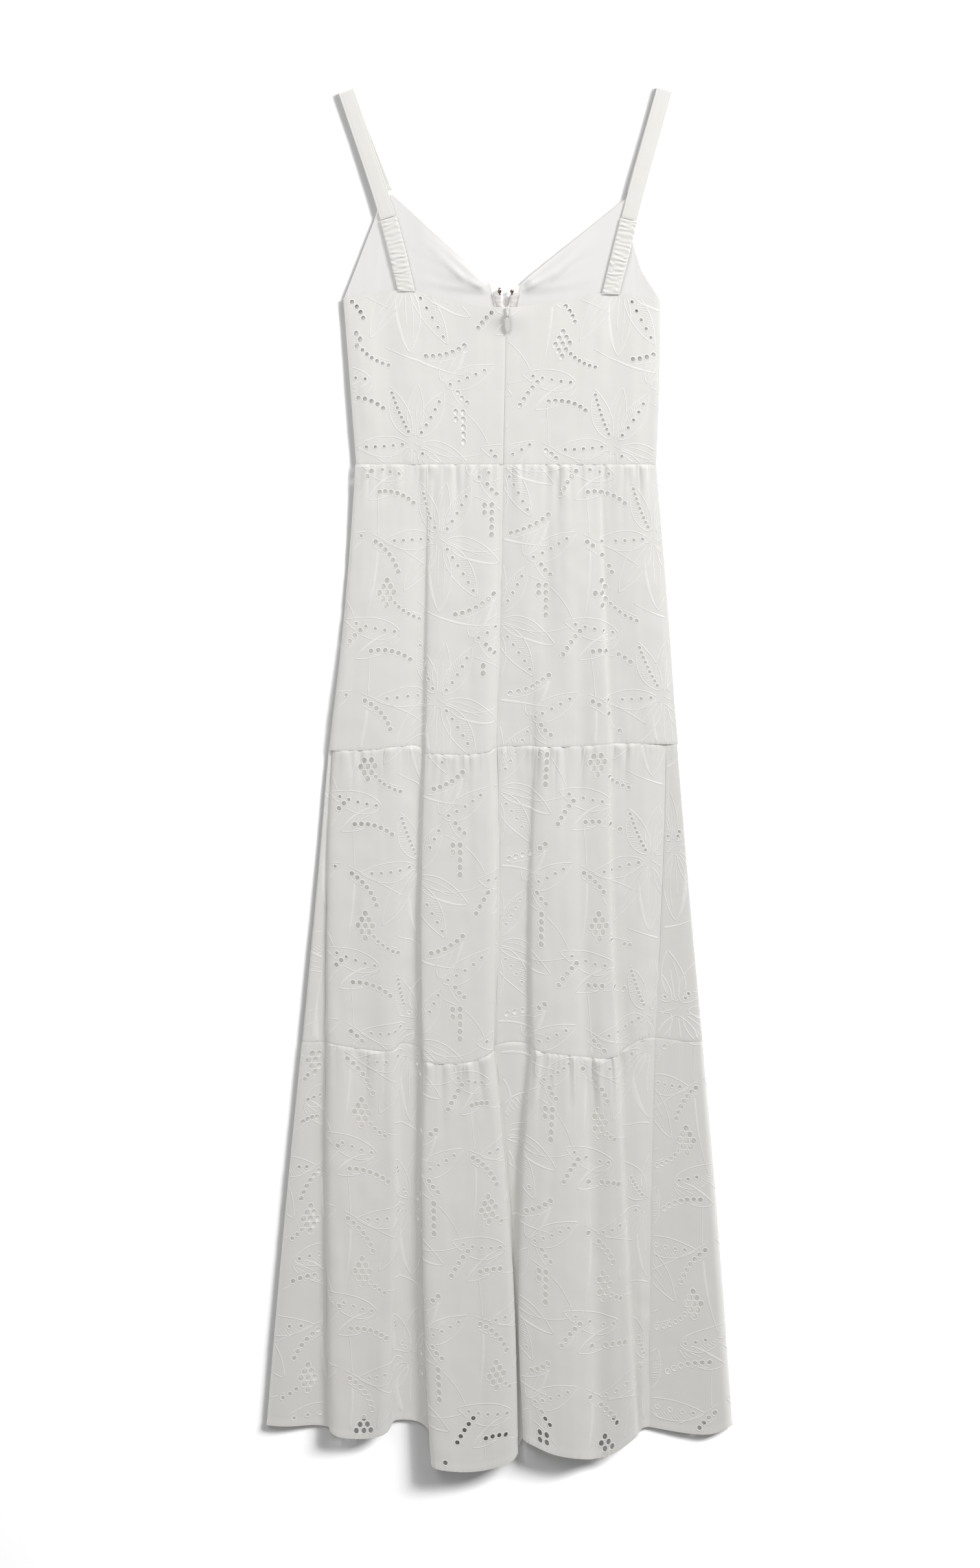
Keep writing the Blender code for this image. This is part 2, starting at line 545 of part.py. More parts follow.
def fold_stations(surface, turn=math.radians(24), furthest=48.0):
    """Places along the section close enough to follow its folds."""
    s = np.linspace(0, surface.width, 500)
    stations = [0.0]
    kept = np.zeros(len(s))
    for depth in (0.25, 0.85):
        n = surface.normal(s, np.full(len(s), depth * surface.height))
        bend = np.arccos(np.clip((n[1:] * n[:-1]).sum(axis=1), -1, 1))
        kept = np.maximum(kept, np.concatenate([[0], bend]))
    turned, start = 0.0, 0.0
    for here, bend in zip(s[1:], kept[1:]):
        turned += bend
        if (turned > turn and here - start > CLOTH) or here - start > furthest:
            stations.append(here)
            turned, start = 0.0, here
    if surface.width - stations[-1] < 1.0:
        stations.pop()
    return np.array(stations + [surface.width])


def column_edges(above, below, d0, d1, centres):
    """Edges that join each point of the sparser row to the nearest of the other, where no eyelet is in the way."""
    few, many = sorted((above, below), key=len)
    if not few:
        return
    places = np.array([s for s, _ in many])
    for s, k in few:
        near = int(np.abs(places - s).argmin())
        low, high = sorted((s, places[near]))
        beside = (centres[:, 0] > low - CLEAR_OF_EYELET) & (centres[:, 0] < high + CLEAR_OF_EYELET)
        between = (centres[:, 1] > d0 - CLEAR_OF_EYELET) & (centres[:, 1] < d1 + CLEAR_OF_EYELET)
        if high - low < COLUMN_SHIFT and not (beside & between).any():
            yield (k, many[near][1])


def mesh_plan(surface, stations, depths, holes, top=None, foot=None):
    """The triangles of the flat plan: rows of points at the given depths, with the eyelets' outlines as edges.
    The top and bottom edges may have stations of their own, and the top's run on through the first two rows."""
    points, edges = [], []

    def add_loop(loop):
        first = len(points)
        points.extend(loop)
        edges.extend((first + k, first + (k + 1) % len(loop)) for k in range(len(loop)))

    top = stations if top is None else top
    foot = stations if foot is None else foot
    border = [(s, 0.0) for s in top]
    border += [(surface.width, d) for d in depths[1:-1]]
    border += [(s, surface.height) for s in foot[::-1]]
    border += [(0.0, d) for d in depths[-2:0:-1]]
    add_loop(border)
    for centre, half in holes:
        angles = [2 * math.pi * (k + 0.5) / EYELET_SIDES for k in range(EYELET_SIDES)]
        add_loop([(centre[0] + half[0] * math.cos(a), centre[1] + half[1] * math.sin(a)) for a in angles])
    centres = np.array([hole[0] for hole in holes]).reshape(-1, 2)
    above = list(zip(top, range(len(top))))
    for n, depth in enumerate(depths[1:], start=1):
        at_foot = n == len(depths) - 1
        row = []
        if at_foot:
            first = len(top) + len(depths) - 2
            row = [(s, first + k) for k, s in enumerate(foot[::-1])][::-1]
        else:
            for s in (top if n <= 2 else stations)[1:-1]:
                near = np.hypot(centres[:, 0] - s, centres[:, 1] - depth).min(initial=99.0)
                if near > CLEAR_OF_EYELET:
                    row.append((s, len(points)))
                    points.append((s, depth))
        edges.extend(column_edges(above, row, depths[n - 1], depth, centres))
        above = row
    made = geometry.delaunay_2d_cdt([Vector(p) for p in points], edges, [], 0, 1e-5)
    plan, faces = np.array([tuple(v) for v in made[0]]), np.array(made[2])
    middles = plan[faces].mean(axis=1)
    keep = np.ones(len(faces), bool)
    for centre, half in holes:
        keep &= ~inside_loop(middles, centre, half)
    return plan, faces[keep]


def wall(surface, plan, faces, thick, extra=None):
    """Both faces of the cloth and the rims that join them, as points and triangles."""
    s, d = plan.T
    middle, n = surface.point(s, d), surface.normal(s, d)
    proud = thick / 2 + (extra(s, d) if extra else 0.0)
    upper, lower = middle + n * np.reshape(proud, (-1, 1)), middle - n * thick / 2
    # s runs to the right and d runs down, so a plan triangle that turns left faces down
    return np.concatenate([upper, lower]), both_faces(plan, faces)


def turned_left(plan, faces):
    """The plan's triangles, each with its corners in anticlockwise order."""
    corners = plan[faces]
    a, b = corners[:, 1] - corners[:, 0], corners[:, 2] - corners[:, 0]
    turn = a[:, 0] * b[:, 1] - a[:, 1] * b[:, 0]
    return np.where((turn > 0)[:, None], faces, faces[:, ::-1])


def both_faces(plan, faces):
    """Triangles of a plate: the first face's, the second's, and the rims between, along every free edge. The
    first face looks to where the plan is clockwise from."""
    faces, count = turned_left(plan, faces), len(plan)
    sides = np.concatenate([faces[:, [0, 1]], faces[:, [1, 2]], faces[:, [2, 0]]])
    key, uses = np.unique(np.sort(sides, axis=1), axis=0, return_counts=True)
    free = {tuple(k) for k in key[uses == 1]}
    rims = []
    for i, j in sides:
        if (min(i, j), max(i, j)) in free:
            rims += [(i, j, j + count), (i, j + count, i + count)]
    return np.concatenate([faces[:, ::-1], faces + count, np.array(rims)])


def plate(plan, faces, thick):
    """A flat plate of that thickness around z = 0, as points and triangles."""
    foot, top = np.full((len(plan), 1), -thick / 2), np.full((len(plan), 1), thick / 2)
    return np.concatenate([np.hstack([plan, foot]), np.hstack([plan, top])]), both_faces(plan, faces)


def add_object(name, points, faces, finish):
    mesh = bpy.data.meshes.new(name)
    mesh.from_pydata((np.asarray(points) * MM).tolist(), [], [tuple(map(int, f)) for f in faces])
    mesh.shade_smooth()
    mesh.set_sharp_from_angle(angle=math.radians(50))
    mesh.materials.append(finish)
    made = bpy.data.objects.new(name, mesh)
    bpy.context.scene.collection.objects.link(made)
    return made


def finish_of(name, color, roughness, metallic=0.0):
    finish = bpy.data.materials.new(name)
    finish.use_nodes = True
    shader = finish.node_tree.nodes["Principled BSDF"]
    shader.inputs["Base Color"].default_value = (*color, 1.0)
    shader.inputs["Roughness"].default_value = roughness
    shader.inputs["Metallic"].default_value = metallic
    return finish


def add_cloth(
    name, surface, finish, rows, holes=(), thick=CLOTH, stations=None, extra=None, top=None, foot=None
):
    """A piece of cloth whose rows of points lie at those parts of its height."""
    stations = fold_stations(surface) if stations is None else stations
    plan, faces = mesh_plan(surface, stations, np.asarray(rows) * surface.height, holes, top, foot)
    return add_object(name, *wall(surface, plan, faces, thick, extra), finish)


def add_back_skirt(name, table, half, finish):
    """The three tiers of one half of the back. The two edges of each seam have the same stations."""
    tiers = [back_skirt(table, tier, half) for tier in (1, 2, 3)]
    folds = [np.interp(fold_stations(tier), tier.s, tier.t) for tier in tiers]
    gathers = [np.interp(tier.relief.stations * tier.width, tier.s, tier.t) for tier in tiers]
    seams = [np.union1d(folds[0], gathers[0])]
    seams += [np.union1d(np.union1d(folds[k - 1], folds[k]), gathers[k]) for k in (1, 2)]
    # spread on the tier below the seam, then read on both
    seams = [
        np.interp(spread(np.interp(t, tier.t, tier.s)), tier.s, tier.t) for t, tier in zip(seams, tiers)
    ]
    for k, tier in enumerate(tiers):
        top = np.interp(seams[k], tier.t, tier.s)
        foot = np.interp(seams[k + 1], tier.t, tier.s) if k < 2 else None
        stations = np.interp(folds[k], tier.t, tier.s)
        right, down = SKIRT_ORIGIN_STEP
        holes = eyelets_on(tier, (SKIRT_ORIGIN[0] + right * half, SKIRT_ORIGIN[1] + down * k))
        node = f"tier_{k + 1}_back_{name}"
        add_cloth(node, tier, finish, TIER_ROWS, holes, stations=stations, top=top, foot=foot)


def trimmed(levels, start, end):
    """The same columns with the end rows moved by half a seam's gap."""
    levels = np.array(levels, float)
    levels[0] += start * GAP / 2
    levels[-1] += end * GAP / 2
    return levels


def seam_rows(top, foot, x=None, z=None, open_foot=False):
    """Top and bottom edges, each drawn back by half a seam's gap. Where an edge climbs, it is drawn back
    further."""
    edges = [np.asarray(top, float), np.asarray(foot, float)]
    backs = [GAP / 2, GAP / 2]
    if x is not None:
        for k, edge in enumerate(edges):
            run = np.hypot(np.diff([levels[-k] for levels in x]), np.diff([levels[-k] for levels in z]))
            climb = np.abs(np.diff(edge)) / np.maximum(run, 1.0)
            steepest = np.maximum(np.append(climb, 0), np.insert(climb, 0, 0))
            backs[k] = GAP / 2 * np.sqrt(1 + (CLIMB_ROOM * steepest) ** 2)
    return np.stack([edges[0] - backs[0], edges[1] + (0 if open_foot else backs[1])], axis=1)


# The columns of the back's tables that each tier uses, and how far down a tier its rows of points lie
X_COLUMNS = {1: (0, 1, 2), 2: (3, 4, 5), 3: (5, 6, 7)}
Z_COLUMNS = {1: (0, 1, 2), 2: (2, 3), 3: (3, 4)}
TIER_ROWS = (0, 0.03, 0.09, 0.22, 0.45, 0.72, 1)


def back_skirt(table, tier, half):
    x = [[row[1][k] for k in X_COLUMNS[tier]] for row in table]
    z = [[REST + row[2][k] for k in Z_COLUMNS[tier]] for row in table]
    top = [WAIST_Y if tier == 1 else row[3][tier - 2] for row in table]
    foot = [row[3][tier - 1] for row in table]
    y = seam_rows(top, foot, x, z, open_foot=tier == 3)
    return Surface(trimmed(x, 1, -1), y, z, relief=gather_relief(half, tier))


def front_skirt(tier):
    columns = (0, 1, 2) if tier == 2 else (2, 3, 4)
    x = [[row[2][k] for k in columns] for row in FRONT_SKIRT]
    z = [[row[1] + row[3][k] for k in (tier - 2, tier - 1)] for row in FRONT_SKIRT]
    top, foot = ([row[4][k] for row in FRONT_SKIRT] for k in (tier - 2, tier - 1))
    y = seam_rows(top, foot, open_foot=tier == 3)
    return Surface(trimmed(x, -1, 1), y, z)


def front_tier_1():
    x = [row[1] for row in FRONT_TIER_1]
    y = seam_rows([WAIST_Y] * len(x), [row[2] for row in FRONT_TIER_1])
    return Surface(x, y, np.full((len(x), 2), UNDER), outline=straight)


def back_bodice(table, at_start, at_end):
    x = trimmed([row[1] for row in table], at_start, at_end)
    z = BODICE + np.array([row[2] for row in table])
    y = seam_rows([row[3] + GAP / 2 for row in table], [WAIST_Y] * len(table))
    return Surface(x, y, z, outline=straight, relief=ring_relief)


def flat_bodice(table, height, at_start, at_end, relief=None):
    x = trimmed([row[1:3] for row in table], at_start, at_end)
    y = seam_rows([row[3] + GAP / 2 for row in table], [WAIST_Y] * len(table))
    return Surface(x, y, np.full((len(table), 2), height), outline=straight, relief=relief, ribbon=True)


def ribbon(table, wide):
    """A strap: s runs along its middle line and d across it."""
    middle = np.array([row[1:3] for row in table])
    heights = np.array([[row[3]] * 2 for row in table])
    lean = np.radians([row[4] for row in table])
    side = np.stack([np.cos(lean), np.sin(lean)], axis=1) * wide / 2
    edges = np.stack([middle - side, middle + side], axis=1)
    return Surface(edges[:, :, 0], edges[:, :, 1], heights, ribbon=True)


def corner_stations(surface):
    """A straight outline's own corners, and the middles of its long sides."""
    corners = np.interp(np.arange(surface.last + 1), surface.t, surface.s)
    long = np.diff(corners) > 30
    return np.sort(np.concatenate([corners, ((corners[1:] + corners[:-1]) / 2)[long]]))


def outward(points, faces):
    """The triangles of a closed body, turned over together if they face in."""
    corner = np.asarray(points, float)[np.asarray(faces)]
    volume = np.einsum("ij,ij->i", corner[:, 0], np.cross(corner[:, 1], corner[:, 2])).sum()
    return faces if volume > 0 else [tuple(reversed(f)) for f in faces]


def grid_faces(rings, sides):
    """Triangles of a tube with that many rings and sides."""
    faces = []
    for i in range(rings - 1):
        for k in range(sides):
            a, b = i * sides + k, i * sides + (k + 1) % sides
            faces += [(a, b, b + sides), (a, b + sides, a + sides)]
    return faces


def ring_path(a):
    """The bar's middle line: down the left leg, round the foot and up the right leg. a is the length so far."""
    leg, bend = RING_TOP_Y - RING_Y, math.pi * RING_HALF
    if a < leg:
        return (RING_X - RING_HALF, RING_TOP_Y - a), (0.0, -1.0)
    if a < leg + bend:
        turn = (a - leg) / RING_HALF
        place = (RING_X - RING_HALF * math.cos(turn), RING_Y - RING_HALF * math.sin(turn))
        return place, (math.sin(turn), -math.cos(turn))
    return (RING_X + RING_HALF, RING_Y + a - leg - bend), (0.0, 1.0)


RING_LONG = 2 * (RING_TOP_Y - RING_Y) + math.pi * RING_HALF


def add_neck_ring(finish):
    """A bar swept along its path. Its radius swells to a ball at each end."""
    sides, from_ball = 8, 5
    ball_ends = [-BALL * math.cos(math.pi * k / 7) for k in range(1, from_ball + 1)]
    stations = [*ball_ends, *np.linspace(4.5, RING_LONG - 4.5, 12), *(RING_LONG - a for a in ball_ends[::-1])]
    points = []
    for a in stations:
        (x, y), (run_x, run_y) = ring_path(a)
        from_end = min(a, RING_LONG - a)
        radius = max(math.sqrt(max(BALL**2 - from_end**2, 0)), BAR if from_end > 0 else 0)
        for k in range(sides):
            angle = 2 * math.pi * k / sides
            across = radius * math.cos(angle)
            points.append((x + across * run_y, y - across * run_x, RING_Z + radius * math.sin(angle)))
    rings = len(stations)
    first, last = len(points), len(points) + 1
    for end in (-BALL, RING_LONG + BALL):
        (x, y), _ = ring_path(end)
        points.append((x, y, RING_Z))
    faces = grid_faces(rings, sides)
    for k in range(sides):
        after = (k + 1) % sides
        faces.append((first, after, k))
        faces.append((last, (rings - 1) * sides + k, (rings - 1) * sides + after))
    return add_object("neck_ring", points, outward(points, faces), finish)


def add_cuff(name, side, finish):
    """A ruched tube around one half of the ring's bar, thin towards the keyhole and wide towards its cup."""
    start, end = CUFF_START, RING_LONG / 2 - GAP / 2
    rings = 2 * CUFF_RUCHES + 1
    outer, inner = [], []
    for i in range(rings):
        part = i / (rings - 1)
        (x, y), (run_x, run_y) = ring_path(start + (end - start) * part)
        ruche = 1 + CUFF_SWELL * (1 if i % 2 else -1)
        wide = CUFF_OUTER + (CUFF_FOOT - CUFF_OUTER) * min(1.0, part * 1.25)
        slant = CUFF_SLANT * max(0.0, 1 - part * 2.2)
        for k in range(CUFF_SIDES):
            angle = 2 * math.pi * k / CUFF_SIDES
            c, z = math.cos(angle), math.sin(angle)
            across = c * (CUFF_INNER if c > 0 else wide) * (ruche if c < 0 else 1.0)
            for shell, reach, high in ((outer, across, CUFF_THICK * ruche), (inner, c * CHANNEL, CHANNEL)):
                lift = slant * reach
                px = x - reach * run_y + lift * run_x
                py = y + reach * run_x + lift * run_y
                shell.append((RING_X + side * (px - RING_X), py, RING_Z + high * z))
    count = len(outer)
    faces = grid_faces(rings, CUFF_SIDES)
    faces += [tuple(count + k for k in reversed(f)) for f in faces]
    for base, flip in ((0, False), ((rings - 1) * CUFF_SIDES, True)):
        for k in range(CUFF_SIDES):
            a, b = base + k, base + (k + 1) % CUFF_SIDES
            for f in ((a, a + count, b + count), (a, b + count, b)):
                faces.append(tuple(reversed(f)) if flip else f)
    return add_object(name, outer + inner, outward(outer + inner, faces), finish)


def add_box_union(name, boxes, finish):
    """Boxes, each (low corner, high corner) in millimetres, joined into one body with softened edges."""
    made = []
    for k, (low, high) in enumerate(boxes):
        (x0, y0, z0), (x1, y1, z1) = low, high
        points = [(x, y, z) for z in (z0, z1) for y in (y0, y1) for x in (x0, x1)]
        faces = [(0, 2, 3, 1), (4, 5, 7, 6), (0, 1, 5, 4), (2, 6, 7, 3), (0, 4, 6, 2), (1, 3, 7, 5)]
        made.append(add_object(name if k == 0 else f"{name}_part_{k}", points, faces, finish))
    for other in made[1:]:
        union = made[0].modifiers.new("join", "BOOLEAN")
        union.operation = "UNION"
        union.object = other
        other.hide_render = True
        other.display_type = "WIRE"
    soften = made[0].modifiers.new("soften", "BEVEL")
    soften.width = 0.25 * MM
    soften.segments = 1
    soften.limit_method = "ANGLE"
    return made[0]


def zip_seat():
    """Height of the slider's underside: just clear of the back bodice where it lifts over the ring."""
    return BODICE + UNDER + RING_LIFT + GAP + SLIDER_CLEAR


def add_slider(finish):
    z = zip_seat()
    half, top = SLIDER_WIDE / 2, z + SLIDER_THICK
    body = ((ZIP_X - half, SLIDER_TOP_Y - SLIDER_LONG, z), (ZIP_X + half, SLIDER_TOP_Y, top))
    left, right = ZIP_X - EYE_WIDE / 2, ZIP_X + EYE_WIDE / 2
    low, high = EYE_Y - EYE_HALF - EYE_POST, EYE_Y + EYE_HALF + EYE_POST
    near = ((left, low, top - SUNK), (right, low + EYE_POST, top + EYE_TALL - 0.1))
    far = ((left, high - EYE_POST, top - SUNK), (right, high, top + EYE_TALL - 0.1))
    bridge = ((left, low, top + EYE_TALL - EYE_POST), (right, high, top + EYE_TALL))
    return add_box_union("zip_slider", [body, near, far, bridge], finish)


def pull_half(down):
    """Half the width of the pull that far below its top: arms around the window, a teardrop under them."""
    drop = down / PULL_LONG
    plate = PULL_WIDE / 2 * max(math.sin(math.pi * drop**1.25), 0.0) ** 0.55
    arms = PULL_ARMS * (1 - min(1.0, max(0.0, down - ARMS_LONG) / 4.0))
    round_end = min(1.0, math.sqrt(max(0.0, PULL_LONG - down) / 3.0))
    return max(plate, arms) * round_end


def pull_outline():
    """The pull's outline from the middle of its top, down the right side and up the left."""
    levels = [PULL_LONG * 0.5 * (1 - math.cos(math.pi * k / PULL_STEPS)) for k in range(1, PULL_STEPS)]
    right = [(pull_half(down), PULL_TOP - down) for down in levels]
    left = [(-x, y) for x, y in right[::-1]]
    return [(0.0, PULL_TOP), *right, (0.0, PULL_TOP - PULL_LONG), *left]


def add_pull(finish):
    """A teardrop plate with a window at its head. Its origin is on the axis of the slider's eye."""
    outline = pull_outline()
    half, high, low = WINDOW
    window = [(half, high), (-half, high), (-half * 0.7, low), (half * 0.7, low)]
    steps = len(outline)
    edges = [(k, (k + 1) % steps) for k in range(steps)]
    edges += [(steps + k, steps + (k + 1) % 4) for k in range(4)]
    made = geometry.delaunay_2d_cdt([Vector(p) for p in outline + window], edges, [], 0, 1e-5)
    plan, faces = np.array([tuple(v) for v in made[0]]), np.array(made[2])
    middles = plan[faces].mean(axis=1)
    in_window = (middles[:, 1] > low) & (middles[:, 1] < high) & (np.abs(middles[:, 0]) < half)
    right = np.array(outline[: PULL_STEPS + 1])
    width_at = np.interp(-middles[:, 1], -right[:, 1], right[:, 0])
    faces = faces[~in_window & (np.abs(middles[:, 0]) < width_at + 0.05)]
    points, shell = plate(plan, faces, PULL_THICK)
    pull = add_object("zip_pull", points, shell, finish)
    pull.location = (ZIP_X * MM, EYE_Y * MM, (zip_seat() + SLIDER_THICK + EYE_RISE) * MM)
    pull.rotation_euler = (PULL_LEAN, 0.0, 0.0)
    return pull


def build():
    for old in list(bpy.data.objects):
        bpy.data.objects.remove(old)
    cotton = finish_of("embroidered_cotton", (0.86, 0.86, 0.83), 0.85)
    lining = finish_of("smooth_lining", (0.88, 0.86, 0.85), 0.7)
    metal = finish_of("ring_metal", (0.6, 0.6, 0.6), 0.25, 1.0)
    enamel = finish_of("zip_enamel", (0.88, 0.88, 0.87), 0.35)
    for half, (name, table) in enumerate((("left", BACK_LEFT), ("right", BACK_RIGHT))):
        add_back_skirt(name, table, half, cotton)
    surface = front_tier_1()
    add_cloth("tier_1_front", surface, cotton, (0, 0.5, 1), stations=corner_stations(surface))
    for tier in (2, 3):
        surface = front_skirt(tier)
        holes = eyelets_on(surface, (FRONT_ORIGIN[0], FRONT_ORIGIN[1] * tier), FLAPS[tier])
        add_cloth(f"tier_{tier}_front", surface, cotton, (0, 0.25, 0.5, 0.75, 1), holes)
    for name, table, ends in (("left", BODICE_LEFT, (0, -1)), ("right", BODICE_RIGHT, (1, 0))):
        surface = back_bodice(table, *ends)
        holes = eyelets_on(surface, BODICE_ORIGINS[name])
        by_ring = np.array(RING_LIFT_STATIONS)
        by_ring = surface.width - by_ring if name == "left" else by_ring
        stations = np.union1d(corner_stations(surface), by_ring)
        rows = (0, 0.06, 0.14, 0.4, 0.7, 1)
        add_cloth(f"back_bodice_{name}", surface, cotton, rows, holes, stations=stations)
    for name, outer, inner, creases, ends in (
        ("left", FRONT_BODICE_LEFT, LINING_LEFT, CREASES_LEFT, (0, -1)),
        ("right", FRONT_BODICE_RIGHT, LINING_RIGHT, CREASES_RIGHT, (1, 0)),
    ):
        surface = flat_bodice(outer, UNDER, *ends)
        add_cloth(f"front_bodice_{name}", surface, cotton, (0, 0.5, 1), stations=corner_stations(surface))
        surface = flat_bodice(inner, REST, *ends, relief=crease_relief(creases))
        rows = np.concatenate([np.linspace(0, 0.56, 8), [1]])
        stations = spread(np.union1d(corner_stations(surface), np.linspace(0, surface.width, 11)), 4.0)
        add_cloth(f"cup_lining_{name}", surface, lining, rows, stations=stations)
    straps = (("left", STRAP_LEFT, ELASTIC_LEFT), ("right", STRAP_RIGHT, ELASTIC_RIGHT))
    for name, strap, elastic in straps:
        surface = ribbon(strap, STRAP_WIDE)
        add_cloth(f"strap_{name}", surface, cotton, (0, 1), thick=STRAP)
        surface = ribbon(elastic, ELASTIC_WIDE)
        long = surface.width

        def ruche(s, d, long=long):
            return RUCHE_HIGH * (0.5 - 0.5 * np.cos(2 * np.pi * ELASTIC_RUCHES * s / long))

        stations = np.linspace(0, long, 2 * ELASTIC_RUCHES + 1)
        node = f"strap_elastic_{name}"
        add_cloth(node, surface, cotton, (0, 1), thick=ELASTIC, stations=stations, extra=ruche)
    add_cuff("ring_cuff_left", 1, lining)
    add_cuff("ring_cuff_right", -1, lining)
    add_neck_ring(metal)
    add_slider(enamel)
    add_pull(enamel)


build()
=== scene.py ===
"""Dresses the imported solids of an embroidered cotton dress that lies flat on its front, and sets up the
studio.

Lengths are millimetres until a mesh is made. +X is to the right, +Y runs from the hem to the shoulders and +Z
is up.
"""

import logging
import math
from collections.abc import Callable, Iterator
from dataclasses import dataclass, field, replace
from enum import Enum

import bpy
import numpy as np
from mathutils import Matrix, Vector, geometry


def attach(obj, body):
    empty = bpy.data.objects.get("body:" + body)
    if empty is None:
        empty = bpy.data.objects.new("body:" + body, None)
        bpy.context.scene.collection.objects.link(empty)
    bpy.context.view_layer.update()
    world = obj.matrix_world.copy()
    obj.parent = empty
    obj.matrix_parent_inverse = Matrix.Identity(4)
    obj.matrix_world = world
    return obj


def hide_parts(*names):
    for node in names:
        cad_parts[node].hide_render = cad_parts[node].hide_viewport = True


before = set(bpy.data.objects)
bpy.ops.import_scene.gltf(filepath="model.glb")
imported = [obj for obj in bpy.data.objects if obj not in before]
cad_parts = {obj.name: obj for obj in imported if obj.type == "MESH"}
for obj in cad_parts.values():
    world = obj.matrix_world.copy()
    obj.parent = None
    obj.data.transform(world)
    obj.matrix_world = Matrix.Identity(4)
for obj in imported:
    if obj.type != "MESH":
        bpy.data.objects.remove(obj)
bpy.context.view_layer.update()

MM = 0.001

Array = np.ndarray
Relief = Callable[["Surface", Array, Array, Array], Array]

# Thicknesses and clearances of the solids
CLOTH = 1.1
STRAP = 1.6
ELASTIC = 2.0
GAP = 0.3
UNDER = CLOTH / 2
REST = UNDER + CLOTH + GAP + 0.05
BODICE = REST + CLOTH + GAP
OVERLAP = 0.2
WAIST_Y = 313.9
CENTRE_TOP_Y = 471.0

# Neck ring and zip
RING_X = 6.0
RING_Y = 476.0
RING_Z = 3.6
RING_HALF = 6.1
RING_TOP_Y = 487.7
RING_LEG = RING_TOP_Y - RING_Y
RING_LONG = 2 * RING_LEG + math.pi * RING_HALF
ZIP_X = 7.6
SLIDER_TOP_Y = 471.6
SLIDER_THICK = 1.5
EYE_Y = 463.6

# How the back lifts over the ring's foot: how much, from which y, half its width, how far it stays level
# downwards, how far it then takes to sink, how far it reaches upwards, and how steep it is
RING_LIFT = 3.4
LIFT_Y = 469.0
LIFT_WIDE = 22.0
LIFT_LEVEL = 3.0
LIFT_DOWN = 14.0
LIFT_UP = 12.0
LIFT_STEEP = 2.2
ZIP_SEAT = BODICE + UNDER + RING_LIFT + GAP + 0.4

# Seams and hem: the groove at a seam, the hem's height, its rise and the groove of its stitching
SEAM_DEEP = 0.3
SEAM_HALF = 1.0
HEM = 7.0
HEM_RISE = 0.28
HEM_DEEP = 0.3
HEM_HALF = 0.7

# Embroidery: how far eyelets keep from the edges, how far apart they stay, how much wider than an eyelet the
# cloth is cut, how far the mesh's other points and the stitches keep from one, half the size of the small ones
# on leaves, and how far stitches keep from the sides, from the seams and from the hem's foot
CLUSTER_MARGIN = 6.0
EYELET_MARGIN = 5.0
EYELETS_APART = 1.5
CUT_WIDER = 0.3
MESH_CLEAR = 0.9
STITCH_CLEAR = 1.9
SMALL_HALF = 1.7
STITCH_SIDE = 1.4
STITCH_SEAM = 1.6
STITCH_HEM = 8.2

# What the back covers: how far in from a flap's inner edge the hidden stretch of a front piece begins, and
# the y below which a lining lies under the back and gets a painted glow that lifts its shade
HIDDEN_FROM = 14.0
LINING_COVERED_Y = 466.0

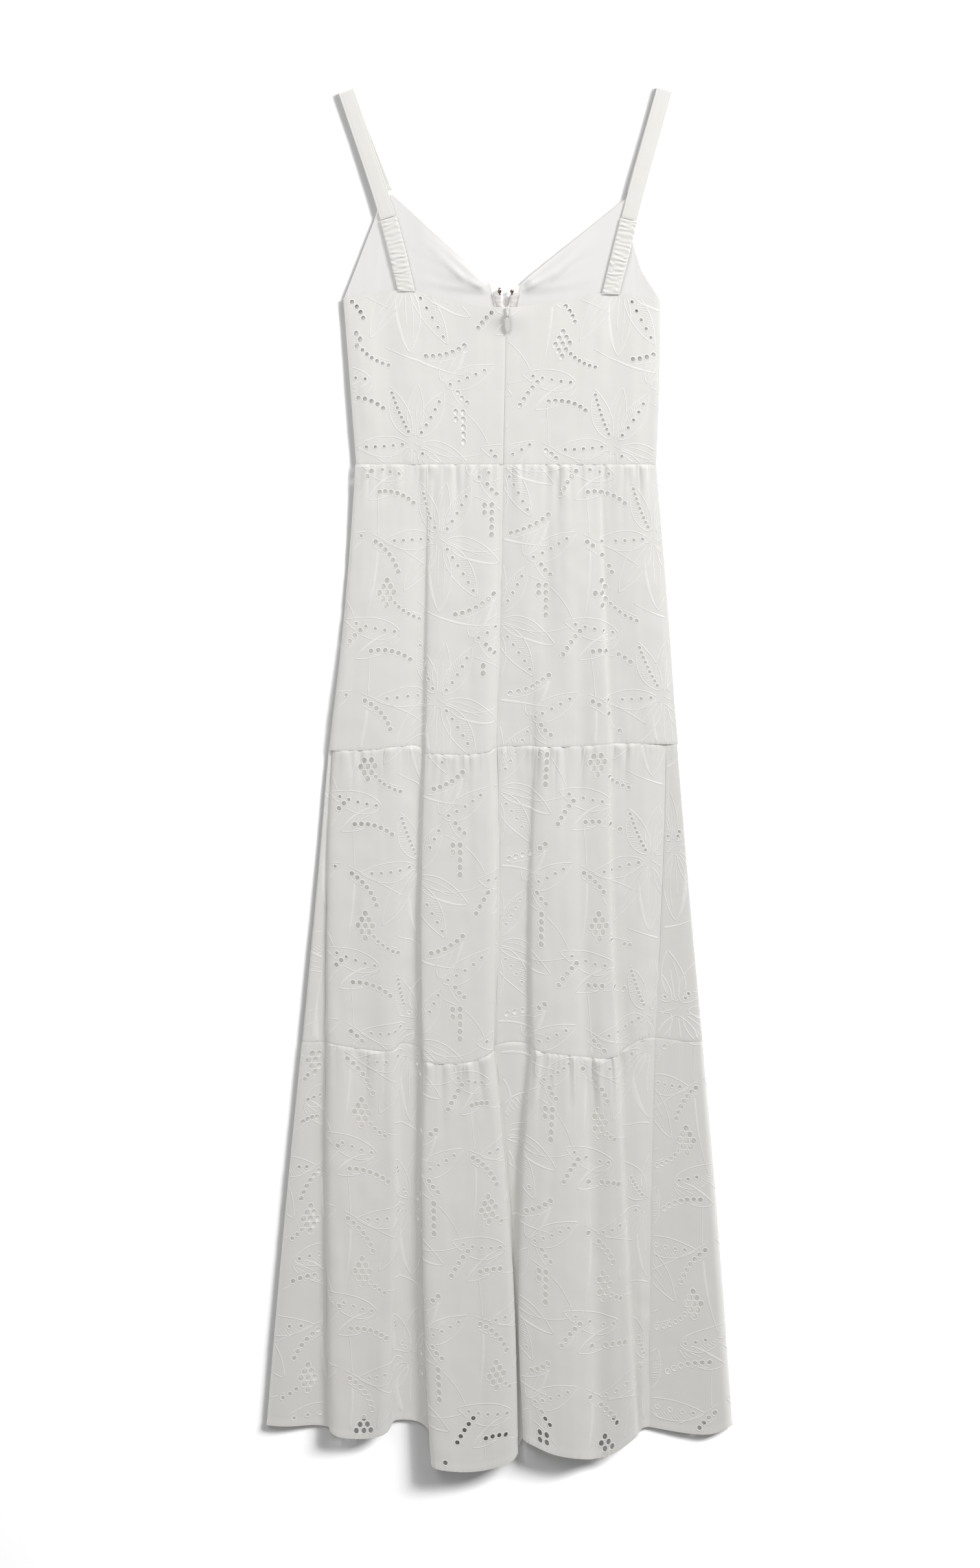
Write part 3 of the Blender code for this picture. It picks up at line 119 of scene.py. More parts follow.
# Left half of the back skirt, from the side seam to the centre back.
# x at: waist, mid tier 1, foot of tier 1, top of tier 2, mid tier 2, tier 2-3 seam, mid tier 3, hem
# z at: waist, mid tier 1, tier 1-2 seam, tier 2-3 seam, hem      y at: tier 1-2 seam, tier 2-3 seam, hem
BACK_LEFT = (
    ("side seam", (-144.4, -155.2, -171.4, -168.4, -173.9, -174.4, -174.4, -171.8),
     (1.4, 0.3, 0.0, 0.0, 0.0), (27.6, -265.0, -650.3)),
    ("fold A foot", (-143.2, -154.0, -169.8, -166.8, -172.4, -172.8, -172.8, -170.2),
     (1.5, 0.5, 0.1, 0.1, 0.1), (27.6, -265.0, -651.0)),
    ("fold A edge", (-141.6, -152.6, -169.2, -166.2, -172.0, -172.4, -172.4, -169.8),
     (2.1, 2.2, 2.9, 4.6, 7.0), (27.6, -265.5, -655.0)),
    ("fold A shoulder", (-134.0, -146.0, -162.0, -160.0, -164.0, -164.0, -163.0, -160.0),
     (2.5, 3.4, 4.2, 6.4, 9.8), (27.0, -267.5, -660.5)),
    ("fold A middle", (-117.0, -122.0, -132.0, -132.0, -135.0, -135.0, -135.0, -132.0),
     (2.2, 4.4, 4.4, 4.4, 8.0), (27.5, -272.5, -662.0)),
    ("fold A right", (-96.0, -99.0, -107.0, -107.0, -108.0, -109.0, -108.0, -114.0),
     (2.4, 3.6, 4.6, 6.0, 9.5), (30.5, -275.0, -657.0)),
    ("fold A drop", (-87.0, -89.0, -94.0, -94.0, -95.0, -103.5, -103.0, -109.0),
     (2.0, 2.3, 2.5, 3.0, 4.5), (32.0, -271.0, -650.0)),
    ("valley 1 in", (-81.0, -83.0, -87.5, -87.5, -88.0, -100.0, -101.0, -106.0),
     (1.6, 0.8, 0.3, 0.0, 0.0), (32.5, -265.5, -642.0)),
    ("valley 1 out", (-76.0, -77.0, -79.5, -79.5, -82.0, -82.0, -80.0, -73.0),
     (1.5, 0.5, 0.1, 0.0, 0.0), (31.5, -267.5, -645.0)),
    ("fold B foot", (-72.0, -72.5, -73.0, -73.0, -76.0, -73.5, -73.0, -64.5),
     (1.7, 1.0, 0.9, 1.0, 1.2), (25.5, -278.0, -676.0)),
    ("fold B edge", (-71.6, -73.0, -75.5, -75.5, -80.5, -78.0, -78.5, -69.5),
     (2.3, 3.0, 4.0, 6.5, 9.5), (25.0, -284.0, -688.0)),
    ("fold B shoulder", (-63.0, -65.0, -67.0, -67.0, -71.0, -69.0, -69.0, -60.0),
     (2.5, 4.2, 5.5, 8.5, 14.0), (24.0, -286.0, -692.3)),
    ("fold B middle", (-40.0, -38.0, -38.0, -38.0, -38.0, -38.0, -32.0, -25.0),
     (2.2, 3.6, 4.4, 6.5, 11.5), (22.5, -287.0, -695.0)),
    ("fold B right", (-14.0, -15.0, -17.0, -17.0, -14.0, -17.0, 3.0, 9.5),
     (2.4, 4.0, 5.0, 7.5, 12.5), (24.5, -281.0, -686.0)),
    ("fold B drop", (-4.0, -6.0, -8.0, -7.0, -5.0, -6.0, 12.0, 18.6),
     (2.0, 2.6, 3.0, 4.0, 7.5), (27.5, -274.0, -677.0)),
    ("fold B landing", (-0.6, -2.6, -6.4, -6.0, -4.0, -7.6, 10.4, 17.2),
     (1.6, 0.8, 0.3, 0.2, 0.3), (30.0, -269.0, -670.0)),
    ("centre back", (3.4, 1.0, -3.0, -2.0, -0.5, -4.5, 13.2, 20.2),
     (1.4, 0.5, 0.1, 0.0, 0.0), (30.5, -268.0, -668.0)),
)

# Right half of the back skirt, from the centre back to the side seam, with the same columns.
BACK_RIGHT = (
    ("centre back", (3.4, 1.0, -3.0, -2.0, -0.5, -4.5, 13.2, 20.2),
     (1.4, 0.5, 0.1, 0.0, 0.0), (30.5, -268.0, -668.0)),
    ("recess in", (14.0, 13.0, 13.0, 13.0, 14.0, 12.0, 16.2, 22.6),
     (2.0, 2.2, 0.3, 0.1, 0.2), (32.0, -264.0, -661.0)),
    ("recess out", (27.0, 28.0, 34.0, 34.0, 31.0, 34.0, 22.0, 25.4),
     (2.4, 3.3, 0.5, 0.2, 0.7), (32.0, -267.0, -660.5)),
    ("fold D edge", (38.0, 39.0, 38.0, 38.0, 30.8, 32.0, 18.4, 22.8),
     (2.2, 2.2, 3.4, 6.0, 8.0), (31.0, -271.0, -662.0)),
    ("fold D shoulder", (47.0, 47.0, 47.0, 47.0, 41.0, 42.0, 28.0, 32.0),
     (2.0, 1.4, 5.0, 8.0, 12.0), (30.8, -275.0, -667.0)),
    ("fold D ridge", (58.0, 60.0, 61.0, 61.0, 62.0, 64.0, 58.0, 56.0),
     (2.4, 3.4, 4.5, 8.5, 13.0), (31.0, -277.5, -678.0)),
    ("ridge right", (66.0, 69.0, 72.0, 72.0, 74.0, 79.0, 86.0, 86.0),
     (2.6, 4.2, 4.0, 7.4, 12.0), (31.3, -279.0, -681.5)),
    ("valley 3", (76.0, 79.0, 82.0, 82.0, 83.0, 88.0, 94.0, 96.0),
     (2.2, 3.6, 2.8, 3.4, 4.8), (31.6, -280.0, -681.5)),
    ("fold D right", (88.0, 92.0, 98.0, 98.0, 99.0, 103.0, 110.0, 113.0),
     (2.4, 4.2, 4.8, 6.6, 8.8), (32.4, -282.0, -678.0)),
    ("fold D drop", (100.0, 103.5, 111.0, 111.0, 111.5, 118.5, 127.0, 137.0),
     (2.4, 4.2, 4.6, 6.6, 8.6), (33.7, -278.5, -659.5)),
    ("fold D heel", (101.5, 104.5, 111.5, 111.5, 112.0, 119.0, 127.5, 137.5),
     (2.0, 1.8, 2.0, 2.6, 3.4), (34.0, -276.5, -658.0)),
    ("fold E foot", (103.5, 106.5, 113.5, 113.5, 114.0, 121.0, 129.5, 139.3),
     (1.9, 1.1, 0.6, 0.4, 0.5), (34.3, -275.0, -656.0)),
    ("fold E near", (108.0, 111.0, 119.0, 119.0, 119.0, 126.5, 134.0, 142.2),
     (2.2, 1.8, 1.0, 0.7, 0.6), (34.3, -271.0, -652.5)),
    ("fold E middle", (132.0, 136.0, 143.0, 140.0, 139.0, 139.0, 140.5, 144.6),
     (2.6, 3.4, 2.8, 2.0, 1.2), (34.3, -263.0, -651.0)),
    ("fold E right", (151.0, 160.0, 170.0, 158.0, 155.0, 150.0, 146.6, 147.2),
     (2.2, 2.0, 1.4, 0.7, 0.4), (33.8, -260.5, -650.5)),
    ("fold E turn", (155.6, 165.2, 176.4, 163.6, 160.4, 153.0, 149.4, 148.8),
     (1.5, 0.5, 0.1, 0.1, 0.1), (33.6, -260.5, -650.5)),
    ("side seam", (157.2, 167.2, 178.7, 167.0, 163.2, 155.4, 151.4, 150.0),
     (1.4, 0.3, 0.0, 0.0, 0.0), (33.6, -260.5, -650.5)),
)

# Front of tiers 2 and 3, from the left side seam over the left edge, along the floor and over the right edge.
# x at: top of tier 2, mid tier 2, tier 2-3 seam, mid tier 3, hem
# z at: tier 1-2 seam, tier 2-3 seam, hem      y at: tier 1-2 seam, tier 2-3 seam, hem
FLAP, FLOOR = REST, UNDER
LEFT_EDGE = (-171.4, -184.0, -197.9, -216.6, -233.4)
RIGHT_EDGE = (178.4, 190.4, 203.7, 219.6, 233.4)
FRONT_SKIRT = (
    ("left seam", FLAP, (-168.4, -173.9, -174.4, -174.4, -171.8), (0.0, 0.0, 0.0), (27.6, -265.0, -650.3)),
    ("left valley", FLAP, (-169.2, -176.8, -182.0, -185.0, -185.0), (0.0, 0.0, 0.0), (27.6, -265.0, -648.0)),
    ("left crest", FLAP, (-170.4, -180.4, -190.4, -205.0, -214.0), (0.2, 1.8, 3.2), (27.6, -265.0, -650.2)),
    ("left edge top", FLAP, LEFT_EDGE, (0.3, 1.8, 2.4), (27.6, -265.0, -648.6)),
    ("left edge foot", FLOOR, LEFT_EDGE, (0.0, 0.0, 0.0), (27.6, -264.0, -648.4)),
    ("left under", FLOOR, (-162.0, -172.0, -186.0, -202.0, -218.0), (0.0, 0.0, 0.0), (29.0, -263.0, -646.0)),
    ("middle under", FLOOR, (0.0, 0.0, 0.0, 0.0, 0.0), (0.0, 0.0, 0.0), (31.0, -262.0, -638.0)),
    ("right under", FLOOR, (170.0, 180.0, 192.0, 205.0, 218.0), (0.0, 0.0, 0.0), (33.0, -262.0, -646.0)),
    ("right edge foot", FLOOR, RIGHT_EDGE, (0.0, 0.0, 0.0), (33.4, -264.0, -648.4)),
    ("right edge top", FLAP, RIGHT_EDGE, (0.4, 1.8, 2.4), (33.4, -264.6, -648.6)),
    ("right crest", FLAP, (175.0, 184.0, 193.0, 203.0, 214.0), (0.6, 2.2, 3.4), (33.4, -264.6, -658.6)),
    ("right slope", FLAP, (171.0, 173.0, 173.0, 176.0, 186.0), (0.2, 0.6, 1.2), (33.5, -263.0, -657.0)),
    ("right seam", FLAP, (167.0, 163.2, 155.4, 151.4, 150.0), (0.0, 0.0, 0.0), (33.6, -260.5, -650.5)),
)

# Front of tier 1: x at waist, mid and foot, y at the foot.
FRONT_TIER_1 = (
    ("left edge", (-143.8, -154.2, -169.6), 27.6),
    ("left", (-136.0, -146.0, -161.0), 29.0),
    ("middle", (3.4, 1.0, -3.0), 31.0),
    ("right", (149.0, 161.0, 170.0), 33.0),
    ("right edge", (156.4, 168.6, 177.8), 33.4),
)

# Back bodice halves: x at top, mid and waist, height above the lining at the same places, y of the top edge.
BODICE_LEFT = (
    ("side seam", (-156.8, -150.2, -143.8), (0.0, 0.0, 0.0), 480.7),
    ("side", (-152.0, -146.0, -139.6), (0.8, 0.9, 0.8), 481.4),
    ("armpit fold", (-140.0, -136.0, -130.0), (0.8, 2.6, 0.6), 483.5),
    ("side panel", (-124.0, -116.0, -112.0), (0.4, 0.6, 0.8), 486.0),
    ("strap left", (-103.8, -98.0, -94.0), (0.2, 1.6, 0.6), 488.8),
    ("strap right", (-84.5, -80.0, -76.0), (0.2, 1.2, 0.8), 488.8),
    ("neck", (-46.0, -44.0, -42.0), (0.4, 0.6, 0.6), 477.0),
    ("neck low", (-14.0, -14.0, -14.0), (0.4, 0.4, 0.6), 472.0),
    ("centre back", (6.8, 5.2, 3.6), (0.2, 0.2, 0.2), CENTRE_TOP_Y),
)
BODICE_RIGHT = (
    ("centre back", (6.8, 5.2, 3.6), (0.2, 0.2, 0.2), CENTRE_TOP_Y),
    ("neck low", (20.0, 20.0, 20.0), (0.4, 0.4, 0.6), 471.8),
    ("neck", (70.0, 66.0, 64.0), (0.4, 0.8, 0.6), 478.0),
    ("strap left", (101.5, 97.0, 94.0), (0.2, 1.2, 0.8), 485.9),
    ("strap right", (121.5, 117.0, 114.0), (0.2, 0.6, 0.6), 485.9),
    ("armpit fold", (143.0, 142.0, 140.0), (0.6, 1.8, 0.6), 481.5),
    ("side", (156.4, 155.6, 152.6), (0.8, 0.9, 0.8), 480.0),
    ("side seam", (161.2, 160.2, 157.0), (0.0, 0.0, 0.0), 479.3),
)

# Front bodice halves and the cup linings over them: x at the top edge and at the waist, y of the top edge.
FRONT_BODICE_LEFT = (
    ("side seam", -156.2, -143.2, 480.5),
    ("armhole", -123.5, -128.0, 565.2),
    ("apex outer", -120.9, -118.0, 583.4),
    ("apex inner", -107.3, -108.0, 585.3),
    ("neck", -60.0, -62.0, 541.4),
    ("neck end", -4.7, -24.0, 491.1),
    ("cuff corner", 1.0, -18.0, 485.6),
    ("keyhole side", 2.0, -12.0, 477.0),
    ("keyhole bend", 3.4, -5.0, 473.4),
    ("centre front", RING_X, 3.6, 472.0),
)
FRONT_BODICE_RIGHT = (
    ("centre front", RING_X, 3.6, 472.0),
    ("keyhole bend", 8.6, 12.0, 473.4),
    ("keyhole side", 10.0, 19.0, 477.0),
    ("cuff corner", 11.0, 25.0, 485.6),
    ("neck end", 18.9, 32.0, 493.7),
    ("neck", 74.0, 58.0, 538.6),
    ("apex inner", 124.2, 74.0, 579.5),
    ("apex outer", 138.6, 80.0, 582.4),
    ("armhole top", 134.6, 92.0, 556.0),
    ("armhole middle", 134.2, 124.0, 534.6),
    ("armhole curve", 142.6, 142.0, 508.0),
    ("side seam", 160.6, 156.4, 479.4),
)
LINING_LEFT = (
    ("side seam", -155.6, -142.6, 480.3),
    ("armhole", -122.6, -127.0, 564.6),
    ("apex outer", -120.2, -117.0, 582.6),
    ("apex inner", -107.6, -107.0, 584.2),
    ("neck", -60.4, -62.0, 540.6),
    ("neck end", -9.6, -26.0, 494.2),
    ("cuff side", -6.6, -22.0, 478.0),
    ("under cuff", -5.0, -18.0, 466.6),
    ("centre front", RING_X, 3.6, 466.4),
)
LINING_RIGHT = (
    ("centre front", RING_X, 3.6, 466.4),
    ("under cuff", 17.0, 22.0, 466.6),
    ("cuff side", 18.6, 26.0, 478.0),
    ("neck end", 22.4, 30.0, 495.8),
    ("neck", 74.0, 58.0, 537.6),
    ("apex inner", 124.6, 68.0, 578.6),
    ("apex outer", 137.4, 74.0, 581.4),
    ("armhole top", 133.6, 91.0, 556.0),
    ("armhole middle", 133.2, 122.0, 534.6),
    ("armhole curve", 141.6, 141.0, 508.0),
    ("side seam", 160.0, 155.8, 479.2),
)

# Creases of the linings: start, heading in degrees, length, height and half width. The first two of each are
# the solids' own, and the rest are finer.
CREASE_FOOT_Y = 484.0
CREASES_LEFT = (
    ((-15.0, 492.5), 143.0, 84.0, 2.7, 5.0),
    ((-12.5, 486.5), 156.0, 84.0, 2.4, 5.0),
    ((-17.0, 491.0), 149.0, 96.0, 1.1, 2.4),
    ((-11.5, 483.0), 166.0, 90.0, 1.5, 3.4),
    ((-13.0, 494.0), 139.5, 104.0, 1.0, 2.2),
    ((-20.0, 491.0), 152.5, 66.0, 0.8, 1.8),
    ((-36.0, 500.0), 136.0, 70.0, 1.4, 3.2),
)
CREASES_RIGHT = (
    ((27.0, 493.5), 39.0, 86.0, 2.7, 5.0),
    ((24.5, 487.0), 25.0, 82.0, 2.4, 5.0),
    ((29.0, 491.5), 32.0, 100.0, 1.1, 2.4),
    ((23.5, 483.0), 15.0, 88.0, 1.5, 3.4),
    ((25.0, 495.0), 40.0, 96.0, 1.0, 2.2),
    ((21.5, 487.0), 28.5, 64.0, 1.1, 1.8),
    ((52.0, 500.0), 46.0, 70.0, 1.4, 3.2),
)

# Gathers under each seam: how many in the left and the right half, how high, and how far down they run.
GATHERS = {1: (13, 14, 2.2, 62.0), 2: (13, 14, 2.4, 70.0), 3: (14, 15, 3.0, 85.0)}

# Long creases that hang from the seams: x at the seam, depth, half width and length.
SEAM_CREASES = {
    1: (
        (-120.9, 0.8, 2.6, 70.0), (-101.4, 0.9, 2.4, 90.0), (-85.0, 0.8, 2.2, 60.0), (-67.6, 1.9, 3.4, 150.0),
        (-41.6, 2.0, 3.6, 130.0), (-21.0, 0.8, 2.4, 60.0), (24.0, 0.9, 2.6, 80.0), (58.5, 2.0, 3.4, 150.0),
        (71.0, 0.9, 2.2, 70.0), (81.0, 0.8, 2.0, 60.0), (94.0, 1.0, 2.4, 80.0), (112.0, 0.9, 2.4, 80.0),
        (124.0, 1.2, 2.6, 110.0), (131.0, 0.9, 2.2, 60.0),
    ),
    2: (
        (-140.0, 0.8, 2.4, 70.0), (-120.0, 1.2, 2.8, 100.0), (-58.0, 1.2, 2.6, 100.0),
        (-48.0, 0.8, 2.2, 60.0), (-30.0, 1.3, 2.8, 110.0), (50.0, 0.9, 2.2, 80.0), (64.0, 1.2, 2.6, 120.0),
        (92.0, 1.2, 2.8, 110.0), (128.0, 0.8, 2.4, 60.0),
    ),
    3: (
        (-146.0, 0.9, 2.6, 90.0), (-120.0, 1.1, 2.8, 110.0), (-56.0, 1.2, 2.8, 120.0),
        (-44.0, 0.9, 2.2, 70.0), (-30.0, 1.2, 2.8, 110.0), (44.0, 1.4, 2.4, 110.0), (51.0, 1.2, 2.2, 90.0),
        (58.0, 1.4, 2.6, 130.0), (70.0, 1.2, 2.6, 110.0), (98.0, 1.2, 3.0, 110.0),
    ),
}

# Straps and elastics: x, y, height, and the lean of the cross line in degrees.
STRAP_WIDE = 16.0
STRAP_LEFT = (
    (-115.2, 586.8, STRAP / 2, 20.9),
    (-133.0, 631.0, STRAP / 2, 20.9),
    (-152.8, 684.9, STRAP / 2, 20.9),
    (-154.1, 688.6, STRAP / 2, 20.9),
    (-154.1, 688.6, 3.6, 20.9),
    (-152.8, 684.9, 3.6, 20.9),
    (-138.6, 643.0, 3.4, 19.0),
    (-123.4, 598.3, 3.9, 18.0),
    (-111.9, 561.2, 4.1, 17.0),
)
STRAP_RIGHT = (
    (134.8, 585.2, STRAP / 2, -16.2),
    (148.6, 633.0, STRAP / 2, -16.2),
    (164.4, 687.0, STRAP / 2, -16.2),
    (165.5, 690.6, STRAP / 2, -16.2),
    (165.5, 690.6, 3.6, -16.2),
    (164.4, 687.0, 3.6, -16.2),
    (152.8, 645.0, 3.4, -15.5),
    (139.5, 598.3, 3.9, -15.0),
    (129.6, 559.5, 4.1, -14.5),
)
ELASTIC_WIDE = 18.0
ELASTIC_RUCHES = 22
ELASTIC_LEFT = ((-93.3, 486.8, 4.2, 0.0), (-102.4, 525.5, 4.2, 14.0), (-111.8, 560.7, 4.2, 17.0))
ELASTIC_RIGHT = ((110.8, 483.9, 4.2, 0.0), (120.4, 523.0, 4.2, -14.0), (129.5, 559.0, 4.2, -14.5))

NOWHERE = np.zeros((0, 2))

log = logging.getLogger("dress")


class Side(Enum):
    """A half of the dress as seen from above."""

    LEFT = "left"
    RIGHT = "right"


class Held(Enum):
    """How a cloth piece is held."""

    LAID = "laid"
    GATHERED = "gathered"


def carried(levels: Array, v: Array) -> Array:
    """A value down the piece: from two levels along a line, from three along a curve through all of them.

    Args:
        levels: the value at the top, the foot and, with three columns, the middle.
        v: 0 at the top and 1 at the foot.

    Returns:
        The value at each v.
    """
    if levels.shape[1] == 2:
        return levels[:, 0] * (1 - v) + levels[:, 1] * v
    top, middle, foot = levels.T
    return top * (1 - v) * (1 - 2 * v) + middle * 4 * v * (1 - v) + foot * v * (2 * v - 1)


def rounded(rows: Array, t: Array) -> Array:
    """A curve that rounds the corners of the rows' polygon and ends on its end rows.

    Args:
        rows: the polygon's rows, one for each fold of the section.
        t: row numbers, whole at the rows.

    Returns:
        The rows' blend at each t: each row's share falls off as the square of the distance from it.
    """
    first, last = 2 * rows[:1] - rows[1:2], 2 * rows[-1:] - rows[-2:-1]
    padded = np.concatenate([first, rows, last])
    nearest = np.floor(t + 0.5).astype(int)
    f = (t - nearest)[:, None]
    before, at, after = 0.5 * (0.5 - f) ** 2, 0.75 - f * f, 0.5 * (0.5 + f) ** 2
    return padded[nearest] * before + padded[nearest + 1] * at + padded[nearest + 2] * after


def cornered(rows: Array, t: Array) -> Array:
    """The rows' polygon itself, at row numbers t."""
    return np.stack([np.interp(t, np.arange(len(rows)), column) for column in rows.T], axis=1)


def drift(a: Array, b: Array, seed: int) -> Array:
    """Smooth unevenness from -1 to 1: fixed uneven heights at the whole numbers of a and b, eased in between.

    Args:
        a: first place of each point.
        b: second place of each point.
        seed: picks the heights.

    Returns:
        The unevenness at each point.
    """
    heights = np.random.default_rng(seed).uniform(-1, 1, (64, 64))
    low_a, low_b = np.floor(a).astype(int), np.floor(b).astype(int)
    f, g = a - low_a, b - low_b
    f, g = f * f * (3 - 2 * f), g * g * (3 - 2 * g)
    near, far = heights[low_a % 64, low_b % 64], heights[(low_a + 1) % 64, low_b % 64]
    near_up, far_up = heights[low_a % 64, (low_b + 1) % 64], heights[(low_a + 1) % 64, (low_b + 1) % 64]
    return (near * (1 - f) + far * f) * (1 - g) + (near_up * (1 - f) + far_up * f) * g


@dataclass
class Surface:
    """The middle of a cloth piece. A point on it is s along the section and d down the piece."""

    x: Array
    y: Array
    z: Array
    outline: Callable[[Array, Array], Array] = rounded
    relief: Relief | None = None
    ribbon: bool = False

    def __post_init__(self) -> None:
        """Measures the section at mid height, so that s counts millimetres there."""
        self.x, self.y, self.z = (np.asarray(levels, float) for levels in (self.x, self.y, self.z))
        last = len(self.x) - 1
        self.t = np.linspace(0, last, 24 * last + 1)
        middle = self.bare(self.t, np.full(len(self.t), 0.5))
        self.s = np.concatenate([[0], np.cumsum(np.linalg.norm(np.diff(middle, axis=0), axis=1))])
        self.width = float(self.s[-1])
        across = self.bare(self.t, np.zeros(len(self.t))) - self.bare(self.t, np.ones(len(self.t)))
        self.height = float(np.median(np.linalg.norm(across, axis=1)))

    def bare(self, t: Array, v: Array) -> Array:
        """The point at row number t and share v of the way down."""
        x = carried(self.outline(self.x, t), v)
        y = carried(self.outline(self.y, t), v)
        return np.stack([x, y, carried(rounded(self.z, t), v)], axis=1)

    def smooth_point(self, s: Array, d: Array) -> Array:
        """The point without its relief."""
        return self.bare(np.interp(s, self.s, self.t), d / self.height)

    def point(self, s: Array, d: Array) -> Array:
        """The point with its relief, which stands up from it where the section runs level."""
        at = self.smooth_point(s, d)
        if self.relief is not None:
            at[:, 2] += self.relief(self, s, d, at) * self.flatness(s, d)
        return at

    def flatness(self, s: Array, d: Array, near: float = 3.0) -> Array:
        """1 where the section runs level and nothing near is steep, 0 where it stands up or turns under."""
        least = np.ones(len(s))
        for aside in (-near, 0.0, near):
            run = self.along(self.smooth_point, s + aside, d)
            level = np.clip(run[:, 0] / np.maximum(np.linalg.norm(run[:, [0, 2]], axis=1), 1e-9), 0, 1)
            least = np.minimum(least, level**4)
        return least

    def along(
        self, place: Callable[[Array, Array], Array], s: Array, d: Array, step: float = CLOTH / 2
    ) -> Array:
        """How far and which way the surface runs for each millimetre of s."""
        s = np.clip(s, step, self.width - step)
        return (place(s + step, d) - place(s - step, d)) / (2 * step)

    def down(self, s: Array, d: Array, step: float = 0.25) -> Array:
        """How far and which way the surface runs for each millimetre of d."""
        d = np.clip(d, step, self.height - step)
        return (self.point(s, d + step) - self.point(s, d - step)) / (2 * step)

    def normal(self, s: Array, d: Array) -> Array:
        """Square to the section. On a ribbon, square to the ribbon."""
        run = self.along(self.point, s, d)
        if self.ribbon:
            n = np.cross(self.down(s, d), run)
        else:
            n = np.stack([-run[:, 2], np.zeros(len(run)), run[:, 0]], axis=1)
        return n / np.linalg.norm(n, axis=1, keepdims=True)

    def stretch(self, s: Array, d: Array) -> tuple[Array, Array]:
        """How far the surface goes for each millimetre of s and of d."""
        return np.linalg.norm(self.along(self.point, s, d), axis=1), np.linalg.norm(self.down(s, d), axis=1)

    def edge_length(self, depth: float) -> float:
        """How long the piece's cross line is at that depth."""
        line = self.smooth_point(np.linspace(0, self.width, 60), np.full(60, depth))
        return float(np.linalg.norm(np.diff(line, axis=0), axis=1).sum())

    def stations(
        self, step: float, hidden: tuple[float, float] | None, turn: float = 9.0, least: float = 0.5
    ) -> Array:
        """Places across the piece, a step apart, closer where the section turns and sparse where it hides.

        Args:
            step: the widest spacing.
            hidden: the stretch of s that nothing shows of, or None.
            turn: the most that the section turns between two places, in degrees.
            least: the closest spacing.

        Returns:
            The places in order: the running total of one over the spacing, cut into equal parts.
        """
        s = np.linspace(0, self.width, int(self.width / 0.2) + 2)
        spacing = np.full(len(s), step)
        for depth in (0.05, 0.5, 0.95):
            n = self.normal(s, np.full(len(s), depth * self.height))
            bend = np.degrees(np.arccos(np.clip((n[1:] * n[:-1]).sum(axis=1), -1, 1))) / (s[1] - s[0])
            spacing[1:] = np.minimum(spacing[1:], turn / np.maximum(bend, 1e-6))
        spacing = np.clip(spacing, least, step)
        if hidden is not None:
            spacing[(s > hidden[0]) & (s < hidden[1])] = 4 * step
        total = np.concatenate([[0], np.cumsum(np.diff(s) / spacing[1:])])
        return np.interp(np.linspace(0, total[-1], math.ceil(total[-1]) + 1), total, s)


@dataclass(frozen=True)
class Stroke:
    """A line of satin stitches in the repeat."""

    points: Array
    wide: Array | float = 1.0
    high: float = 0.22


@dataclass(frozen=True)
class Blade:
    """A petal or a leaf of the repeat."""

    heading: float
    long: float
    wide: float
    bend: float
    feather: float = 0.0
    hatched: bool = False

    def at(self, root: tuple[float, float], u: Array, across: Array, start: float = 7.0) -> Array:
        """Points of the blade.

        Args:
            root: the flower's middle.
            u: 0 at the blade's foot and 1 at its tip.
            across: -1 and 1 at its two edges.
            start: how far from the root it begins.

        Returns:
            The middle line turns aside as the square of u. The half width is a power of the sine of a power
            of u.
        """
        a = math.radians(self.heading)
        along = start + self.long * u
        half = self.wide / 2 * np.clip(np.sin(np.pi * u**0.82), 0, 1) ** 0.8
        aside = self.bend * self.long * u * u + half * across
        p = root[0] + math.cos(a) * along - math.sin(a) * aside
        q = root[1] + math.sin(a) * along + math.cos(a) * aside
        return np.stack([p, q], axis=1)

    def strokes(self, root: tuple[float, float]) -> Iterator[Stroke]:
        """The outline and the veins. A hatched blade has slanting threads from its midrib to its edge.

        Args:
            root: the flower's middle.

        Returns:
            The strokes one by one.
        """
        u = np.linspace(0, 1, 34)
        swell = np.clip(np.sin(np.pi * (u - 0.25) / 0.7), 0, 1) * (u > 0.25) * (u < 0.95)
        feather = 1.1 + self.feather * swell
        yield Stroke(self.at(root, u, np.full(34, -1.0)), 1.2)
        yield Stroke(self.at(root, u, 1.0 - 0.05 * feather), feather)
        if self.hatched:
            t = np.linspace(0.2, 0.94, 6)
            for k in range(int(self.long / 3.4)):
                yield Stroke(self.at(root, 0.07 + 2.7 / self.long * k + 0.14 * t, -t), 0.7, 0.16)
        else:
            yield Stroke(self.at(root, np.linspace(0.02, 0.62, 18), np.full(18, 0.1)), 1.0, 0.18)
            yield Stroke(self.at(root, np.linspace(0.1, 0.8, 18), np.full(18, -0.45)), 0.8, 0.16)

    def eyelets(self, root: tuple[float, float]) -> Array:
        """The small eyelets along a hatched blade's midrib, as middles."""
        count = int(self.long / 5.3)
        return self.at(root, np.linspace(0.1, 0.88, count), np.zeros(count)) if self.hatched else NOWHERE


@dataclass(frozen=True)
class Spray:
    """Petals or leaves from one point."""

    root: tuple[float, float]
    blades: tuple[Blade, ...]


# A cluster's eyelets, in steps across and down from its middle
DIAMOND = ((0, -2), (-0.5, -1), (0.5, -1), (-1, 0), (0, 0), (1, 0), (-0.5, 1), (0.5, 1), (0, 2))
HAMMER = ((-0.5, -2.4), (0.5, -2.4), (-0.5, -1.2), (0.5, -1.2), (0.5, 0), (0.5, 1.2), (0.5, 2.4))


